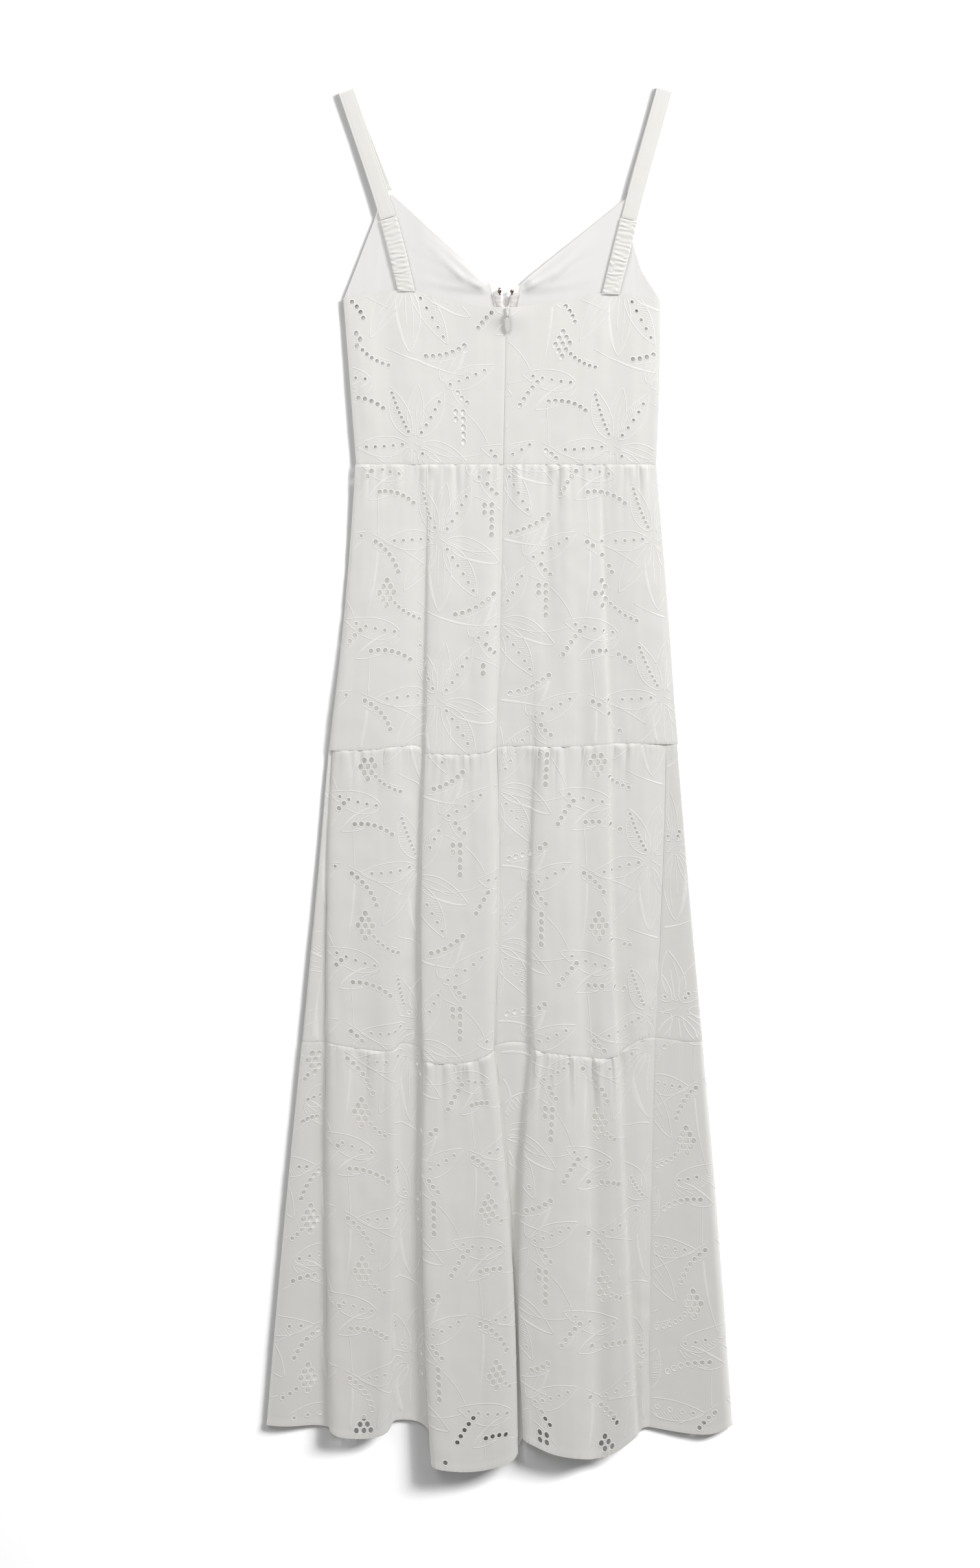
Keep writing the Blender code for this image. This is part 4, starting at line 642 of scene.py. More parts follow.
@dataclass(frozen=True)
class Repeat:
    """The embroidery's repeat. Its columns are half dropped, and p runs to the right and q down."""

    wide: float = 165.0
    tall: float = 160.0
    spots: tuple[tuple[float, float, tuple[tuple[float, float], ...]], ...] = (
        (28.0, 118.0, DIAMOND),
        (132.0, 44.0, HAMMER),
    )
    step: tuple[float, float] = (7.2, 6.2)
    eyelet: tuple[float, float] = (5.2, 6.2)
    sprays: tuple[Spray, ...] = (
        Spray((84.0, 62.0), (
            Blade(18.0, 58.0, 22.0, 0.10, feather=2.4),
            Blade(54.0, 62.0, 23.0, 0.06, hatched=True),
            Blade(92.0, 66.0, 25.0, -0.04, feather=3.2),
            Blade(130.0, 60.0, 22.0, -0.10),
            Blade(-52.0, 54.0, 20.0, -0.12, hatched=True),
            Blade(-86.0, 50.0, 17.0, 0.05),
            Blade(-118.0, 52.0, 20.0, 0.12, hatched=True),
            Blade(172.0, 54.0, 21.0, 0.10, hatched=True),
        )),
        Spray((112.0, 166.0), (
            Blade(-24.0, 56.0, 22.0, -0.08, hatched=True),
            Blade(-66.0, 50.0, 19.0, 0.08, feather=2.2),
        )),
        Spray((50.0, 160.0), (
            Blade(190.0, 56.0, 22.0, 0.08, hatched=True),
            Blade(158.0, 46.0, 18.0, -0.08, feather=1.8),
        )),
    )
    # Rows of eyelets: start, heading, how much they turn, spacing, how many and half size
    rows: tuple[tuple[tuple[float, float], float, float, float, int, float], ...] = (
        ((100.0, 137.0), -6.0, -34.0, 7.2, 7, 2.5),
        ((14.0, 66.0), 28.0, 40.0, 6.8, 7, 2.4),
        ((152.0, 98.0), -62.0, 14.0, 7.2, 5, 2.4),
        ((62.0, 146.0), 196.0, 30.0, 6.2, 6, 2.0),
        ((16.0, 16.0), -12.0, 50.0, 6.8, 7, 2.4),
        ((128.0, 2.0), 76.0, -34.0, 6.8, 4, 2.3),
    )
    # Long stems: start, bend point and end
    stems: tuple[tuple[tuple[float, float], ...], ...] = (
        ((84.0, 62.0), (118.0, 84.0), (160.0, 70.0)),
        ((60.0, 128.0), (92.0, 150.0), (150.0, 150.0)),
        ((10.0, 58.0), (40.0, 72.0), (66.0, 90.0)),
        ((6.0, 150.0), (22.0, 96.0), (14.0, 20.0)),
        ((120.0, 20.0), (150.0, 30.0), (162.0, 62.0)),
    )

    def strokes(self) -> Iterator[Stroke]:
        """All strokes of one repeat: each blade's, each row's edging, and each stem, drawn to its bend."""
        for spray in self.sprays:
            for blade in spray.blades:
                yield from blade.strokes(spray.root)
        for start, heading, turn, spacing, count, half in self.rows:
            middle = self.row(start, heading, turn, spacing, count, 30)
            a = np.radians(heading + turn * np.linspace(0, 1, 30))
            yield Stroke(middle + (half + 2.4) * np.stack([-np.sin(a), np.cos(a)], axis=1), 1.0, 0.18)
        u = np.linspace(0, 1, 48)[:, None]
        swell = 0.8 + 2.4 * np.sin(np.pi * u[:, 0]) ** 4
        for number, (start, bend, end) in enumerate(self.stems):
            p, q, r = np.array(start), np.array(bend), np.array(end)
            yield Stroke(p * (1 - u) ** 2 + q * 2 * u * (1 - u) + r * u * u, swell if number % 2 else 0.9)

    def row(self, start: tuple[float, float], heading: float, turn: float, spacing: float, count: int,
            places: int) -> Array:
        """Places along a row of eyelets: steps whose heading turns evenly from the first to the last."""
        a = np.radians(heading + turn * np.linspace(0, 1, places))
        step = spacing * (count - 1) / (places - 1)
        steps = step * np.stack([np.cos(a), np.sin(a)], axis=1)
        return np.array(start) + np.concatenate([np.zeros((1, 2)), np.cumsum(steps[1:], axis=0)])

    def small_eyelets(self) -> Array:
        """Middle and half size of each eyelet outside the clusters."""
        found = [np.column_stack([at, np.full(len(at), SMALL_HALF)]) for at in
                 (blade.eyelets(spray.root) for spray in self.sprays for blade in spray.blades)]
        for start, heading, turn, spacing, count, half in self.rows:
            at = self.row(start, heading, turn, spacing, count, count)
            found.append(np.column_stack([at, np.full(len(at), half)]))
        return np.concatenate(found)

    def cluster(self, steps: tuple[tuple[float, float], ...]) -> Array:
        """Offsets of a cluster's eyelets from its middle."""
        return np.array(steps) * self.step

    def cells(self, surface: Surface, origin: tuple[float, float]) -> Iterator[tuple[float, float]]:
        """The corner of each repeat that reaches the piece."""
        for i in range(-1, int(surface.width / self.wide) + 2):
            for j in range(-2, int(surface.height / self.tall) + 2):
                yield origin[0] + i * self.wide, origin[1] + (j + 0.5 * (i % 2)) * self.tall


@dataclass
class Eyelets:
    """The eyelets of one piece: middles and half sizes in s and d."""

    middle: Array
    half: Array
    sides: int = 10

    def circle(self) -> Array:
        """The corners of an eyelet whose half size is one."""
        a = 2 * np.pi * (np.arange(self.sides) + 0.5) / self.sides
        return np.stack([np.cos(a), np.sin(a)], axis=1)

    def nearest(self, places: Array, around: float = 0.0) -> Array:
        """How far each place is from the nearest eyelet's middle, in that eyelet's half size plus around."""
        least = np.full(len(places), 99.0)
        for middle, half in zip(self.middle, self.half):
            away = np.hypot(*((places - middle) / (half + around)).T)
            least = np.minimum(least, away)
        return least


@dataclass
class Edges:
    """What runs along each edge of a piece: a seam, a hem or nothing."""

    top: bool = True
    foot: bool = True
    start: bool = True
    end: bool = True
    hem: bool = False
    puckers: float = 0.0


@dataclass
class Panel:
    """One cloth piece: a thin shell on its solid's middle surface, its eyelets, and the embroidery on it."""

    name: str
    surface: Surface
    cloth: bpy.types.Material
    satin: bpy.types.Material
    edges: Edges = field(default_factory=Edges)
    held: Held = Held.LAID
    origin: tuple[float, float] | None = None
    flaps: tuple[float, float] | None = None
    outward: int = 1
    lift: float = 0.2
    uneven: float = 1.0
    step: float = 1.6
    row_step: float = 2.4
    creases: tuple[tuple[float, float, float, float], ...] = ()
    fine_gathers: int = 0
    covered: Callable[["Panel", Array, Array], Array] | None = None
    seed: int = 1
    repeat: Repeat = field(default_factory=Repeat)

    def __post_init__(self) -> None:
        """Finds the eyelets and where each long crease starts."""
        surface = self.surface
        s = np.linspace(0, surface.width, 400)
        top = surface.smooth_point(s, np.zeros(400))[:, 0]
        order = np.argsort(top)
        self.crease_s = [float(np.interp(crease[0], top[order], s[order])) for crease in self.creases]
        self.eyelets = self.find_eyelets()

    def hidden(self) -> tuple[float, float] | None:
        """The stretch of s between the two flaps, which lies under the back."""
        if self.flaps is None:
            return None
        return self.flaps[0] + HIDDEN_FROM, self.surface.width - self.flaps[1] - HIDDEN_FROM

    def open_air(self, places: Array, margin: float) -> Array:
        """Which places are far enough from the edges, sharp turns and the hidden stretch for an eyelet."""
        surface = self.surface
        s, d = places.T
        fits = (s > margin) & (s < surface.width - margin) & (d > margin) & (d < surface.height - margin)
        if self.flaps:
            fits &= (s < self.flaps[0] - margin) | (s > surface.width - self.flaps[1] + margin)
        found = np.flatnonzero(fits)
        if len(found):
            before = surface.normal(s[found] - 5, d[found])
            after = surface.normal(s[found] + 5, d[found])
            fits[found] = (before * after).sum(axis=1) > math.cos(math.radians(26))
        return fits

    def find_eyelets(self) -> Eyelets:
        """The clusters' eyelets first, as the solids have them, then each smaller one that keeps clear."""
        if self.origin is None:
            return Eyelets(NOWHERE, NOWHERE)
        repeat, big = self.repeat, self.cluster_eyelets()
        small = np.concatenate([
            repeat.small_eyelets() + [p, q, 0] for p, q in repeat.cells(self.surface, self.origin)
        ])
        kept, sizes = list(big), [max(repeat.eyelet) / 2] * len(big)
        for s, d, half in small[self.open_air(small[:, :2], EYELET_MARGIN)]:
            gaps = [math.hypot(s - m[0], d - m[1]) - half - r for m, r in zip(kept, sizes)]
            if min(gaps, default=math.inf) > EYELETS_APART:
                kept.append(np.array([s, d]))
                sizes.append(half)
        if not kept:
            return Eyelets(NOWHERE, NOWHERE)
        middle = np.array(kept)
        half = np.repeat(np.array(sizes)[:, None], 2, axis=1)
        half[: len(big)] = np.array(repeat.eyelet) / 2
        along, down = self.surface.stretch(*middle.T)
        return Eyelets(middle, half / np.stack([along, down], axis=1))

    def cluster_eyelets(self) -> Array:
        """The middles of the eyelets of each cluster whose own middle is on the piece."""
        surface, found = self.surface, [NOWHERE]
        for p, q in self.repeat.cells(surface, self.origin):
            for spot_p, spot_q, steps in self.repeat.spots:
                s, d = p + spot_p, q + spot_q
                if 0 < s < surface.width and 0 < d < surface.height:
                    stretch = surface.stretch(np.array([s]), np.array([d]))
                    found.append([s, d] + self.repeat.cluster(steps) / np.concatenate(stretch))
        big = np.concatenate(found)
        return big[self.open_air(big, CLUSTER_MARGIN)]

    def fine(self, s: Array, d: Array) -> Array:
        """The cloth's own unevenness, outwards from the middle surface.

        Args:
            s: place across the piece.
            d: place down the piece.

        Returns:
            Slow and quick streaks that run down the cloth, with gathers, long creases and seams.
        """
        height = 0.65 * drift(s / 21, d / 120, self.seed) + 0.26 * drift(s / 8, d / 52, self.seed + 1)
        height += 0.2 * drift(s / 14, d / 15, self.seed + 2)
        if self.fine_gathers or self.creases:
            height += (self.gathers(s, d) - self.grooves(s, d)) * self.surface.flatness(s, d)
        return height * self.uneven + self.seams(s, d)

    def gathers(self, s: Array, d: Array) -> Array:
        """Height of the fine gathers: waves across, uneven in height and length, which fade out downwards."""
        if not self.fine_gathers:
            return np.zeros(len(s))
        k = s / self.surface.width * self.fine_gathers
        shifted = k + 0.35 * drift(k / 2, d / 30, self.seed + 3)
        which = np.floor(shifted)
        wave = np.abs(np.sin(np.pi * shifted)) ** 1.1 - 0.5
        reach = 42 * (1 + 0.8 * drift(which * 1.7, 0 * d + 5, self.seed + 4))
        strong = np.clip(0.55 + 0.75 * drift(which * 0.9, 0 * d + 9, self.seed + 6), 0.1, 1.3)
        return strong * wave * np.clip(1 - d / reach, 0, 1) ** 1.3

    def grooves(self, s: Array, d: Array) -> Array:
        """Depth of the long creases: bell curves across, which sway, widen and fade out downwards."""
        depth = np.zeros(len(s))
        for (_, deep, wide, long), start in zip(self.creases, self.crease_s):
            middle = start + 2.0 * np.sin(d / 34 + start)
            part = np.clip(d / long, 0, 1)
            bell = np.exp(-(((s - middle) / (wide * (1 + part))) ** 2))
            depth += 0.62 * deep * bell * (1 - part) ** 1.1
        return depth

    def seams(self, s: Array, d: Array) -> Array:
        """Height of the puckers and the groove along each seam, and of the doubled band along the hem."""
        edges, up = self.edges, self.surface.height - d
        height = np.zeros(len(s))
        if edges.puckers:
            wave = np.sin(2 * np.pi * (s / 4.6 + 0.5 * drift(s / 9, 0 * s, self.seed + 5)))
            for sewn, away, far in ((edges.top, d, 10.0), (edges.foot, up, 4.0)):
                height += sewn * edges.puckers * wave * np.exp(-np.maximum(away, 0) / far)
        sides = ((edges.start, s), (edges.end, self.surface.width - s))
        for sewn, away in ((edges.top, d), (edges.foot and not edges.hem, up), *sides):
            height -= sewn * SEAM_DEEP * np.exp(-((np.maximum(away, 0) / SEAM_HALF) ** 2))
        if edges.hem:
            height += HEM_RISE / (1 + np.exp((up - HEM) / 0.5))
            height -= HEM_DEEP * np.exp(-(((up - HEM) / HEM_HALF) ** 2))
        return height

    def shell(self, s: Array, d: Array, high: Array | float = 0.0) -> Array:
        """Points on the cloth, or that high above it."""
        n = self.surface.normal(s, d) * self.outward
        return self.surface.point(s, d) + n * (self.lift + self.fine(s, d) + high)[:, None]

    def build(self) -> list[bpy.types.Object]:
        """Makes the cloth and the embroidery on it, and says what each is.

        Returns:
            The finished pieces.
        """
        surface = self.surface
        plan, faces = self.plan()
        points = self.shell(*plan.T)
        cloth = made_mesh(f"cloth_{self.name}", points, faces, self.cloth)
        # Painted light: the mask attribute sets how strongly the finish's painted glow lifts the shade on this
        # piece.
        if self.covered is not None:
            shade = cloth.data.attributes.new("covered", "FLOAT", "POINT")
            shade.data.foreach_set("value", self.covered(self, plan, points).astype(np.float32))
        declared(cloth, self.name)
        wide = max(surface.edge_length(0.0), surface.edge_length(surface.height), surface.width)
        whole = wide * surface.height * MM * MM
        area = float(np.clip(surface_area(points, faces) * MM * MM, 0.3 * whole, whole))
        return [cloth] if self.origin is None else [cloth, self.embroidery()]

    def plan(self) -> tuple[Array, Array]:
        """The flat plan: a grid of points with the eyelets' outlines cut into it.

        Returns:
            The points in s and d, and the triangles that face outwards.
        """
        surface, eyelets = self.surface, self.eyelets
        s = surface.stations(self.step, self.hidden())
        near_seam = np.array([0.0, 0.7, 1.4, 2.4, 4.0])
        first, last = near_seam[-1] + self.row_step, surface.height - near_seam[-1] - self.row_step / 2
        between = np.arange(first, last, self.row_step)
        d = np.concatenate([near_seam, between, surface.height - near_seam[::-1]])
        grid = np.stack(np.meshgrid(s, d), axis=-1).reshape(-1, 2)
        cut = eyelets.half + CUT_WIDER
        grid = grid[eyelets.nearest(grid, MESH_CLEAR) > 1]
        loops = (eyelets.middle[:, None] + cut[:, None] * eyelets.circle()).reshape(-1, 2)
        k = np.arange(len(loops))
        after = k - k % eyelets.sides + (k + 1) % eyelets.sides
        edges = (len(grid) + np.stack([k, after], axis=1)).tolist()
        points = np.concatenate([grid, loops])
        made = geometry.delaunay_2d_cdt([Vector(p) for p in points.tolist()], edges, [], 0, 1e-5)
        plan, faces = np.array([tuple(v) for v in made[0]]), np.array(made[2])
        inside = Eyelets(eyelets.middle, cut).nearest(plan[faces].mean(axis=1)) < 0.93
        faces = faces[~inside]
        corner = plan[faces]
        one, other = corner[:, 1] - corner[:, 0], corner[:, 2] - corner[:, 0]
        turn = one[:, 0] * other[:, 1] - one[:, 1] * other[:, 0]
        real = np.abs(turn) > 1e-6
        wrong = turn[real] * self.outward > 0
        return plan, np.where(wrong[:, None], faces[real][:, ::-1], faces[real])

    def embroidery(self) -> bpy.types.Object:
        """The satin strokes and the eyelets' edgings as one piece."""
        parts = [self.stroke_mesh(), self.rim_mesh()]
        points, faces = joined([part for part in parts if len(part[1])])
        made = made_mesh(f"embroidery_{self.name}", points, faces, self.satin)
        declared(made)
        return made

    def laid_strokes(self) -> list[Array]:
        """Every stroke that reaches the piece: its points, its number, and its width and height at each."""
        surface = self.surface
        found = []
        for p, q in self.repeat.cells(surface, self.origin):
            for stroke in self.repeat.strokes():
                at = stroke.points + [p, q]
                low, top = at.min(axis=0), at.max(axis=0)
                if low[0] > surface.width or top[0] < 0 or low[1] > surface.height or top[1] < 0:
                    continue
                wide, high = (np.broadcast_to(size, len(at)) for size in (stroke.wide, stroke.high))
                found.append((at, np.full(len(at), len(found)), wide, high))
        return [np.concatenate(column) for column in zip(*found)]

    def room_for_stitches(self, at: Array) -> Array:
        """Which points keep clear of the piece's edges, its hidden stretch and its eyelets."""
        s, d = at.T
        surface, hidden = self.surface, self.hidden()
        foot = STITCH_HEM if self.edges.hem else STITCH_SEAM
        keep = (s > STITCH_SIDE) & (s < surface.width - STITCH_SIDE)
        keep &= (d > STITCH_SEAM) & (d < surface.height - foot)
        if hidden is not None:
            keep &= (s < hidden[0]) | (s > hidden[1])
        keep[keep] = self.eyelets.nearest(at[keep], STITCH_CLEAR) > 1
        return keep

    def stroke_mesh(self) -> tuple[Array, Array]:
        """Each stroke as a low rounded strip over the cloth.

        Returns:
            Points and quads: four points across at each place along the stroke, the outer two at the cloth
            and the inner two raised, on both sides of the stroke's line.
        """
        at, number, wide, high = self.laid_strokes()
        keep = self.room_for_stitches(at)
        link = keep[1:] & keep[:-1] & (number[1:] == number[:-1])
        step = np.diff(at, axis=0) * link[:, None]
        none = np.zeros((1, 2))
        run = np.concatenate([step, none]) + np.concatenate([none, step])
        length = np.linalg.norm(run, axis=1)
        used = length > 0
        run[used] /= length[used, None]
        links = np.concatenate([link, [False]]).astype(int) + np.concatenate([[False], link]).astype(int)
        wide = wide * np.where(links == 1, 0.3, 1.0)
        renumber = np.cumsum(used) - 1
        first = renumber[np.flatnonzero(link)]
        at, run, wide, high = at[used], run[used], wide[used], high[used]
        across = np.stack([-run[:, 1], run[:, 0]], axis=1)
        aside = wide[:, None] * np.array([-0.5, -0.24, 0.24, 0.5])
        places = at[:, None] + across[:, None] * aside[:, :, None]
        share = 0.6 if self.outward < 0 and not self.flaps else 1
        heights = high[:, None] * np.array([-0.2, 1.0, 1.0, -0.2]) * share
        flat = places.reshape(-1, 2)
        points = self.shell(flat[:, 0], flat[:, 1], heights.reshape(-1))
        j = np.arange(3)
        quads = (4 * first[:, None, None] + j[None, :, None] + np.array([0, 1, 5, 4])).reshape(-1, 4)
        return points, quads if self.outward > 0 else quads[:, ::-1]

    def rim_mesh(self) -> tuple[Array, Array]:
        """Each eyelet's satin edging: a rounded band that turns down into the hole.

        Returns:
            Points and quads: rings of points around each eyelet, grown from its edge and raised as the band's
            profile says.
        """
        eyelets = self.eyelets
        if not len(eyelets.middle):
            return np.zeros((0, 3)), np.zeros((0, 4), int)
        profile = np.array([(-0.25, -0.9), (-0.1, -0.1), (0.15, 0.2), (0.6, 0.22), (1.0, -0.06)])
        sides, rings, count = eyelets.sides, len(profile), len(eyelets.middle)
        reach = eyelets.half[:, None, None, :] + profile[None, :, None, :1]
        places = (eyelets.middle[:, None, None] + reach * eyelets.circle()[None, None]).reshape(-1, 2)
        heights = np.tile(np.repeat(profile[:, 1], sides), count)
        points = self.shell(places[:, 0], places[:, 1], heights)
        ring, side = np.meshgrid(np.arange(rings - 1), np.arange(sides), indexing="ij")
        after = (side + 1) % sides
        quad = np.stack([ring * sides + side, ring * sides + after, (ring + 1) * sides + after,
                         (ring + 1) * sides + side], axis=-1).reshape(-1, 4)
        quads = (quad[None] + (np.arange(count) * rings * sides)[:, None, None]).reshape(-1, 4)
        return points, quads if self.outward > 0 else quads[:, ::-1]


def under_back(panel: Panel, plan: Array, points: Array) -> Array:
    """The painted glow's strength on a front piece: 1 on the stretch that the back covers, less under its own
    flaps and 0 on them. It is painted light that lifts the shade there.
    """
    low, high = panel.hidden() or (-80.0, panel.surface.width + 80)
    inside = np.minimum(plan[:, 0] - low, high - plan[:, 0])
    return np.clip((inside + HIDDEN_FROM) / 8, 0, 1) * (0.75 + 0.25 * np.clip((inside - 24) / 20, 0, 1))


def under_top_edge(panel: Panel, plan: Array, points: Array) -> Array:
    """The painted glow's strength on a lining: 1 on the part that lies under the back bodice, with a soft edge
    below the back's top. It is painted light that lifts the shade there.
    """
    return np.clip((LINING_COVERED_Y - points[:, 1]) / 6, 0, 1)


def surface_area(points: Array, faces: Array) -> float:
    """The triangles' area, in square millimetres."""
    corner = points[faces]
    twice = np.cross(corner[:, 1] - corner[:, 0], corner[:, 2] - corner[:, 0])
    return float(np.linalg.norm(twice, axis=1).sum() / 2)


def joined(parts: list[tuple[Array, Array]]) -> tuple[Array, Array]:
    """Several meshes as one, their faces renumbered."""
    starts = np.cumsum([0] + [len(points) for points, _ in parts[:-1]])
    return (
        np.concatenate([points for points, _ in parts]),
        np.concatenate([faces + start for (_, faces), start in zip(parts, starts)]),
    )


def made_mesh(name: str, points: Array, faces: Array, finish: bpy.types.Material, smooth: float = 60.0
              ) -> bpy.types.Object:
    """An object from points in millimetres and faces that all have the same number of corners.

    Args:
        name: the piece's name.
        points: a row for each point.
        faces: a row of point numbers for each face.
        finish: its material.
        smooth: edges that turn less than this many degrees are shaded smooth.

    Returns:
        The object, at the origin, unturned and unscaled.
    """
    mesh = bpy.data.meshes.new(name)
    corners = faces.shape[1]
    mesh.vertices.add(len(points))
    mesh.vertices.foreach_set("co", np.ascontiguousarray(points * MM, np.float32).ravel())
    mesh.loops.add(faces.size)
    mesh.loops.foreach_set("vertex_index", np.ascontiguousarray(faces, np.int32).ravel())
    mesh.polygons.add(len(faces))
    mesh.polygons.foreach_set("loop_start", np.arange(0, faces.size, corners, dtype=np.int32))
    mesh.update(calc_edges=True)
    mesh.validate()
    mesh.shade_smooth()
    mesh.set_sharp_from_angle(angle=math.radians(smooth))
    mesh.materials.append(finish)
    made = bpy.data.objects.new(name, mesh)
    bpy.context.scene.collection.objects.link(made)
    return made


def declared(piece: bpy.types.Object, node: str | None = None, body: str = "dress") -> None:
    """Puts the piece under its body and hides the solid of the node it stands for."""
    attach(piece, body)
    if node is not None:
        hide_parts(node)


def loop_quads(rings: int, sides: int, closed: bool = True, ends: bool = False) -> Array:
    """Quads of a grid of rings of points.

    Args:
        rings: how many rings.
        sides: how many points in each.
        closed: whether each ring's last point joins its first.
        ends: whether the last ring joins the first.

    Returns:
        A row of four point numbers for each quad.
    """
    ring = np.arange(rings if ends else rings - 1)
    side = np.arange(sides if closed else sides - 1)
    i, k = (a.ravel() for a in np.meshgrid(ring, side, indexing="ij"))
    i2, k2 = (i + 1) % rings, (k + 1) % sides
    return np.stack([i * sides + k, i * sides + k2, i2 * sides + k2, i2 * sides + k], axis=1)


def outward(points: Array, quads: Array) -> Array:
    """The quads of a closed or nearly closed body, turned over together if they face in."""
    corner = points[quads] - points.mean(axis=0)
    volume = np.einsum("ij,ij->i", corner[:, 0], np.cross(corner[:, 1], corner[:, 2])).sum()
    volume += np.einsum("ij,ij->i", corner[:, 0], np.cross(corner[:, 2], corner[:, 3])).sum()
    return quads if volume > 0 else quads[:, ::-1]


def signed_power(value: Array, power: float) -> Array:
    """The value's size raised to a power, with its sign kept."""
    return np.sign(value) * np.abs(value) ** power


class Nodes:
    """A new material and the nodes that are added to it, all on Object coordinates."""

    def __init__(self, name: str, roughness: float) -> None:
        """Starts the material with its shader and its coordinates."""
        self.finish = bpy.data.materials.new(name)
        self.finish.use_nodes = True
        self.tree = self.finish.node_tree
        self.place = self.add("TexCoord", "Object", {})
        self.shade({"Roughness": roughness})

    def feed(self, node: bpy.types.Node, inputs: dict) -> None:
        """Gives each named input of a node its value, or the socket that feeds it."""
        for name, value in inputs.items():
            if isinstance(value, bpy.types.NodeSocket):
                self.tree.links.new(value, node.inputs[name])
            else:
                node.inputs[name].default_value = value

    def add(self, kind: str, output: str, inputs: dict, **options: str) -> bpy.types.NodeSocket:
        """Adds a node.

        Args:
            kind: its type, after the word ShaderNode.
            output: the output to use.
            inputs: a value or a socket for each input.
            options: the node's own settings.

        Returns:
            The output's socket.
        """
        node = self.tree.nodes.new(f"ShaderNode{kind}")
        for option, choice in options.items():
            setattr(node, option, choice)
        self.feed(node, inputs)
        return node.outputs[output]

    def noise(self, scale: float, detail: float = 2.0, roughness: float = 0.5) -> bpy.types.NodeSocket:
        """Noise of that scale and detail."""
        inputs = {"Scale": scale, "Detail": detail, "Roughness": roughness, "Vector": self.place}
        return self.add("TexNoise", "Fac", inputs)

    def spread(self, value: bpy.types.NodeSocket, low: float, high: float) -> bpy.types.NodeSocket:
        """A value from 0 to 1, spread from low to high."""
        return self.add("MapRange", "Result", {"Value": value, "To Min": low, "To Max": high})

    def shade(self, inputs: dict) -> None:
        """Sets inputs of the shader itself."""
        self.feed(self.tree.nodes["Principled BSDF"], inputs)

    def bump(self, height: bpy.types.NodeSocket, strength: float, deep: float) -> None:
        """Roughens the shader's normal by a height that is deep millimetres at most."""
        inputs = {"Strength": strength, "Distance": deep * MM, "Height": height}
        self.shade({"Normal": self.add("Bump", "Normal", inputs)})


@dataclass(frozen=True)
class Weave:
    """A woven cloth finish: thread rows both ways as bump, faint uneven tone, and with a glow a painted glow
    set by the mesh's mask attribute, painted light that lifts the shade of layers under others.
    """

    name: str
    colour: tuple[float, float, float]
    shade: tuple[float, float, float]
    roughness: float
    thread: float = 0.7
    relief: float = 0.25
    sheen: float = 0.15
    glow: float = 0.0

    def build(self) -> bpy.types.Material:
        """The material's nodes."""
        nodes = Nodes(self.name, self.roughness)
        mottle = nodes.noise(26.0, 5.0, 0.65)
        mixed = {"Factor": mottle, "A": (*self.shade, 1), "B": (*self.colour, 1)}
        colour = nodes.add("Mix", "Result", mixed, data_type="RGBA")
        nodes.shade({"Base Color": colour, "Sheen Weight": self.sheen, "Sheen Roughness": 0.5})
        # Painted light: with a glow, the cloth also emits a warm white, scaled by the mesh's mask attribute,
        # which lifts the shade where this layer lies under another.
        if self.glow:
            covered = nodes.add("Attribute", "Fac", {}, attribute_name="covered")
            tint = {"Vector": (1.0, 0.985, 0.955), "Scale": covered}
            through = nodes.add("VectorMath", "Vector", tint, operation="SCALE")
            nodes.shade({"Emission Color": through, "Emission Strength": self.glow})
        wave = {"Scale": 0.314 / (self.thread * MM), "Distortion": 1.2, "Detail": 1.0, "Vector": nodes.place}
        across, down = (nodes.add("TexWave", "Fac", wave, bands_direction=way) for way in ("X", "Y"))
        weave = nodes.add("Math", "Value", {0: across, 1: down}, operation="MULTIPLY")
        slubbed = nodes.add("Math", "Value", {0: weave, 1: nodes.noise(700.0, 3.0)}, operation="ADD")
        nodes.bump(slubbed, self.relief, 0.12)
        return nodes.finish


@dataclass(frozen=True)
class Satin:
    """Satin stitch: close shiny threads."""

    name: str
    colour: tuple[float, float, float]
    roughness: float = 0.42
    thread: float = 0.45

    def build(self) -> bpy.types.Material:
        """The material's nodes."""
        nodes = Nodes(self.name, self.roughness)
        tone = nodes.spread(nodes.noise(260.0), 0.94, 1.03)
        colour = nodes.add("VectorMath", "Vector", {"Vector": self.colour, "Scale": tone}, operation="SCALE")
        nodes.shade({"Base Color": colour, "Sheen Weight": 0.25})
        nodes.bump(nodes.noise(1.0 / (self.thread * MM)), 0.35, 0.1)
        return nodes.finish


@dataclass(frozen=True)
class Hard:
    """Metal or enamel with faint handling marks."""

    name: str
    colour: tuple[float, float, float]
    roughness: float
    metallic: float = 0.0

    def build(self) -> bpy.types.Material:
        """The material's nodes."""
        nodes = Nodes(self.name, self.roughness)
        marks = nodes.noise(420.0, 4.0)
        uneven = nodes.spread(marks, self.roughness * 0.75, self.roughness * 1.4)
        nodes.shade({"Base Color": (*self.colour, 1), "Metallic": self.metallic, "Roughness": uneven})
        nodes.bump(marks, 0.08, 0.05)
        return nodes.finish


